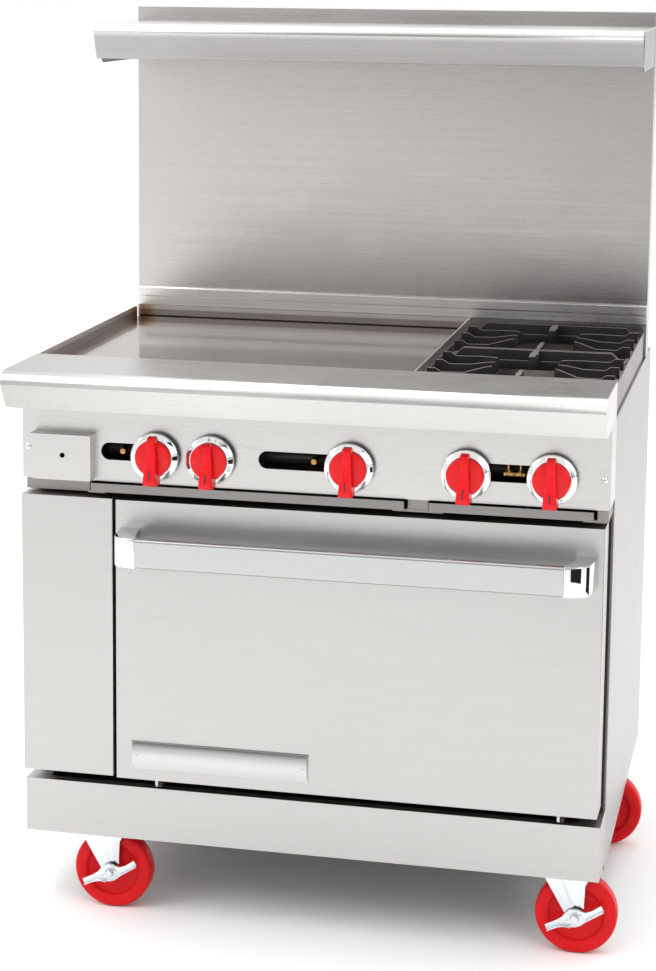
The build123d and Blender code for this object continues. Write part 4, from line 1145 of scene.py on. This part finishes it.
def lever_piece(corner, hub):
    """A pressed toe lever: raised boss with a ring round the nut, and two arms with a turned lip."""
    node = f"brake_lever_{corner}"
    y_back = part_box(node)[1].y
    bm = bmesh.new()
    tilt = math.radians(22.0)
    cos, sin = math.cos(tilt), math.sin(tilt)

    def turn(u, v):
        u, v = u * MM, v * MM
        return (hub.x + u * cos - v * sin, hub.z + u * sin + v * cos)

    # distance along the lever, centre and width, in mm
    table = [
        (-47.5, -1.2, 10.6), (-40.0, -0.4, 10.4), (-28.0, 0.2, 11.2), (-18.0, 0.2, 15.5),
        (-11.0, 0.0, 24.0), (-4.0, 0.2, 28.5), (4.0, 0.2, 28.5), (10.0, -0.2, 24.5), (15.0, -1.6, 17.0),
        (20.0, -2.4, 12.2), (30.0, -1.6, 10.6), (40.0, 0.6, 10.8), (47.0, 2.2, 11.6),
    ]
    upper = [turn(u, c + h / 2) for u, c, h in table]
    lower = [turn(u, c - h / 2) for u, c, h in table]
    outline = upper + list(reversed(lower))
    outline.reverse()
    prism(bm, outline, upright, (y_back - 0.0024, y_back - 0.0002), 0.0008, 2)
    # Turned lip along the lower edge of both arms
    for picks in (range(0, 5), range(8, 13)):
        part = bmesh.new()
        rows = []
        for k in picks:
            u, c, h = table[k]
            edge_low = turn(u, c - h / 2)
            edge_high = turn(u, c - h / 2 + 1.6)
            lip = ((edge_low, 0.0005), (edge_low, 0.0062), (edge_high, 0.0066), (edge_high, 0.0010))
            rows.append([part.verts.new((x, y_back - depth, z)) for (x, z), depth in lip])
        skin(part, rows, caps=True)
        soften(part, 0.0004, 2)
        add(bm, part)
    here = Vector((hub.x, y_back - 0.0022, hub.z))
    ring = [(0.0, 0.0006), (6.0, 0.0006), (6.8, 1.4), (8.6, 2.0), (10.4, 1.6), (12.2, 0.2), (13.0, -0.4)]
    lathe(bm, here, (0, -1, 0), in_mm(ring), 64)
    nut(bm, hub.x, hub.z, 5.2, 20, upright, (y_back - 0.0062, y_back - 0.0022))
    piece(f"lever_{corner}_pressing", bm, node, "zinc", (node,), sharp=35.0)


for corner in ("front_left", "front_right", "rear_left", "rear_right"):
    hub_at = middle(*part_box(f"caster_wheel_{corner}"))
    fork_low, fork_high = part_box(f"caster_fork_{corner}")
    way_out = 1 if abs(fork_high.x - hub_at.x) < abs(hub_at.x - fork_low.x) else -1
    crown_x = (fork_low.x + 0.040) if way_out > 0 else (fork_high.x - 0.040)
    fork_piece(corner, Vector((crown_x, hub_at.y, 0.0)), hub_at)
    wheel_piece(corner)
    if corner.startswith("front"):
        lever_piece(corner, hub_at)


# ---------------- floor, light and world
floor_mesh = bpy.data.meshes.new("floor")
floor_mesh.from_pydata([(-30, -30, 0), (30, -30, 0), (30, 30, 0), (-30, 30, 0)], [], [(0, 1, 2, 3)])
floor = bpy.data.objects.new("floor", floor_mesh)
scene.collection.objects.link(floor)
floor_look = Shader("floor", (0.86, 0.86, 0.855), 0.6)
floor_cloud = floor_look.noise(1.2, detail=2.0)
floor_look.link(floor_look.mix(floor_cloud, (0.91, 0.91, 0.905), (0.93, 0.93, 0.925)), "Base Color")
floor_mesh.materials.append(floor_look.material)

FLAG_LOOK = Shader("black_flag", (0.012, 0.010, 0.010), 0.9, Specular_IOR_Level=0.1).material
HANDLE_END = (0.43, -0.41)


def card(name, centre, radius, turn, lower, upper):
    """A dark curved flag, seen only in reflections. turn is in degrees from -Y towards +X."""
    bm = bmesh.new()
    rows = []
    for k in range(13):
        t = k / 12
        angle = math.radians(turn[0] + (turn[1] - turn[0]) * t)
        x = centre[0] + radius * math.sin(angle)
        y = centre[1] - radius * math.cos(angle)
        heights = (lower[0] + (lower[1] - lower[0]) * t, upper)
        rows.append([bm.verts.new((x, y, z)) for z in heights])
    for a, b in zip(rows, rows[1:]):
        bm.faces.new((a[0], b[0], b[1], a[1]))
    mesh = bpy.data.meshes.new(name)
    bm.to_mesh(mesh)
    bm.free()
    flag = bpy.data.objects.new(name, mesh)
    scene.collection.objects.link(flag)
    mesh.materials.append(FLAG_LOOK)
    for kind in ("camera", "diffuse", "shadow", "transmission", "volume_scatter"):
        setattr(flag, f"visible_{kind}", False)


card("flag_right", HANDLE_END, 1.4, (10.0, 46.0), (0.262, 0.205), 0.62)
card("flag_side", HANDLE_END, 1.4, (78.0, 130.0), (0.0, 0.0), 0.9)

world = bpy.data.worlds.new("studio")
scene.world = world
world.use_nodes = True
tree = world.node_tree
background = tree.nodes["Background"]
place = tree.nodes.new("ShaderNodeTexCoord").outputs["Generated"]
parts = tree.nodes.new("ShaderNodeSeparateXYZ")
tree.links.new(place, parts.inputs[0])


def world_range(value, start, end, low, high):
    made = tree.nodes.new("ShaderNodeMapRange")
    made.interpolation_type = "SMOOTHSTEP"
    tree.links.new(value, made.inputs["Value"])
    for key, number in zip(("From Min", "From Max", "To Min", "To Max"), (start, end, low, high)):
        made.inputs[key].default_value = number
    return made.outputs["Result"]


def world_math(a, b, how="MULTIPLY"):
    made = tree.nodes.new("ShaderNodeMath")
    made.operation = how
    for socket, value in zip(made.inputs, (a, b)):
        feed(tree, socket, value)
    return made.outputs[0]


# The room in front of the range is darker, and the ceiling and the far wall are pale.
toward = tree.nodes.new("ShaderNodeVectorMath")
toward.operation = "DOT_PRODUCT"
tree.links.new(place, toward.inputs[0])
toward.inputs[1].default_value = (0.28, -0.96, 0.0)
front_dark = world_range(toward.outputs["Value"], 0.45, 1.0, 1.0, 0.45)
overhead = world_range(parts.outputs["Z"], 0.12, 0.75, 0.0, 0.50)
level = world_math(front_dark, overhead, "ADD")
# Two tall dark screens to the front right give the chrome its contrast.
around = world_math(parts.outputs["X"], world_math(parts.outputs["Y"], -1.0), "ARCTAN2")
above = world_range(parts.outputs["Z"], -0.12, -0.06, 0.0, 1.0)
height = world_math(above, world_range(parts.outputs["Z"], 0.5, 0.62, 1.0, 0.0))
FADE = 0.04  # radians over which a screen's side fades
for start, end in ((0.42, 0.74), (1.0, 1.36)):
    side = world_range(around, start, start + FADE, 0.0, 1.0)
    screen = world_math(side, world_range(around, end - FADE, end, 1.0, 0.0))
    shade = world_math(world_math(screen, height), -0.94)
    level = world_math(level, world_math(shade, 1.0, "ADD"))
tint = tree.nodes.new("ShaderNodeCombineColor")
for socket in tint.inputs:
    tree.links.new(level, socket)
tree.links.new(tint.outputs[0], background.inputs["Color"])
background.inputs["Strength"].default_value = 1.0


def softbox(name, location, target, size, power):
    light = bpy.data.lights.new(name, "AREA")
    light.shape = "RECTANGLE"
    light.size, light.size_y = size
    light.energy = power
    holder = bpy.data.objects.new(name, light)
    holder.location = location
    holder.rotation_euler = (Vector(target) - Vector(location)).to_track_quat("-Z", "Y").to_euler()
    scene.collection.objects.link(holder)


softbox("key", (-2.6, -2.2, 3.2), (0, 0, 0.7), (2.2, 2.6), 60.0)
softbox("fill", (2.5, -3.0, 2.0), (0.2, 0, 0.6), (1.4, 2.4), 28.0)
softbox("top", (0.0, 0.4, 3.6), (0, 0, 0.9), (2.4, 1.6), 46.0)
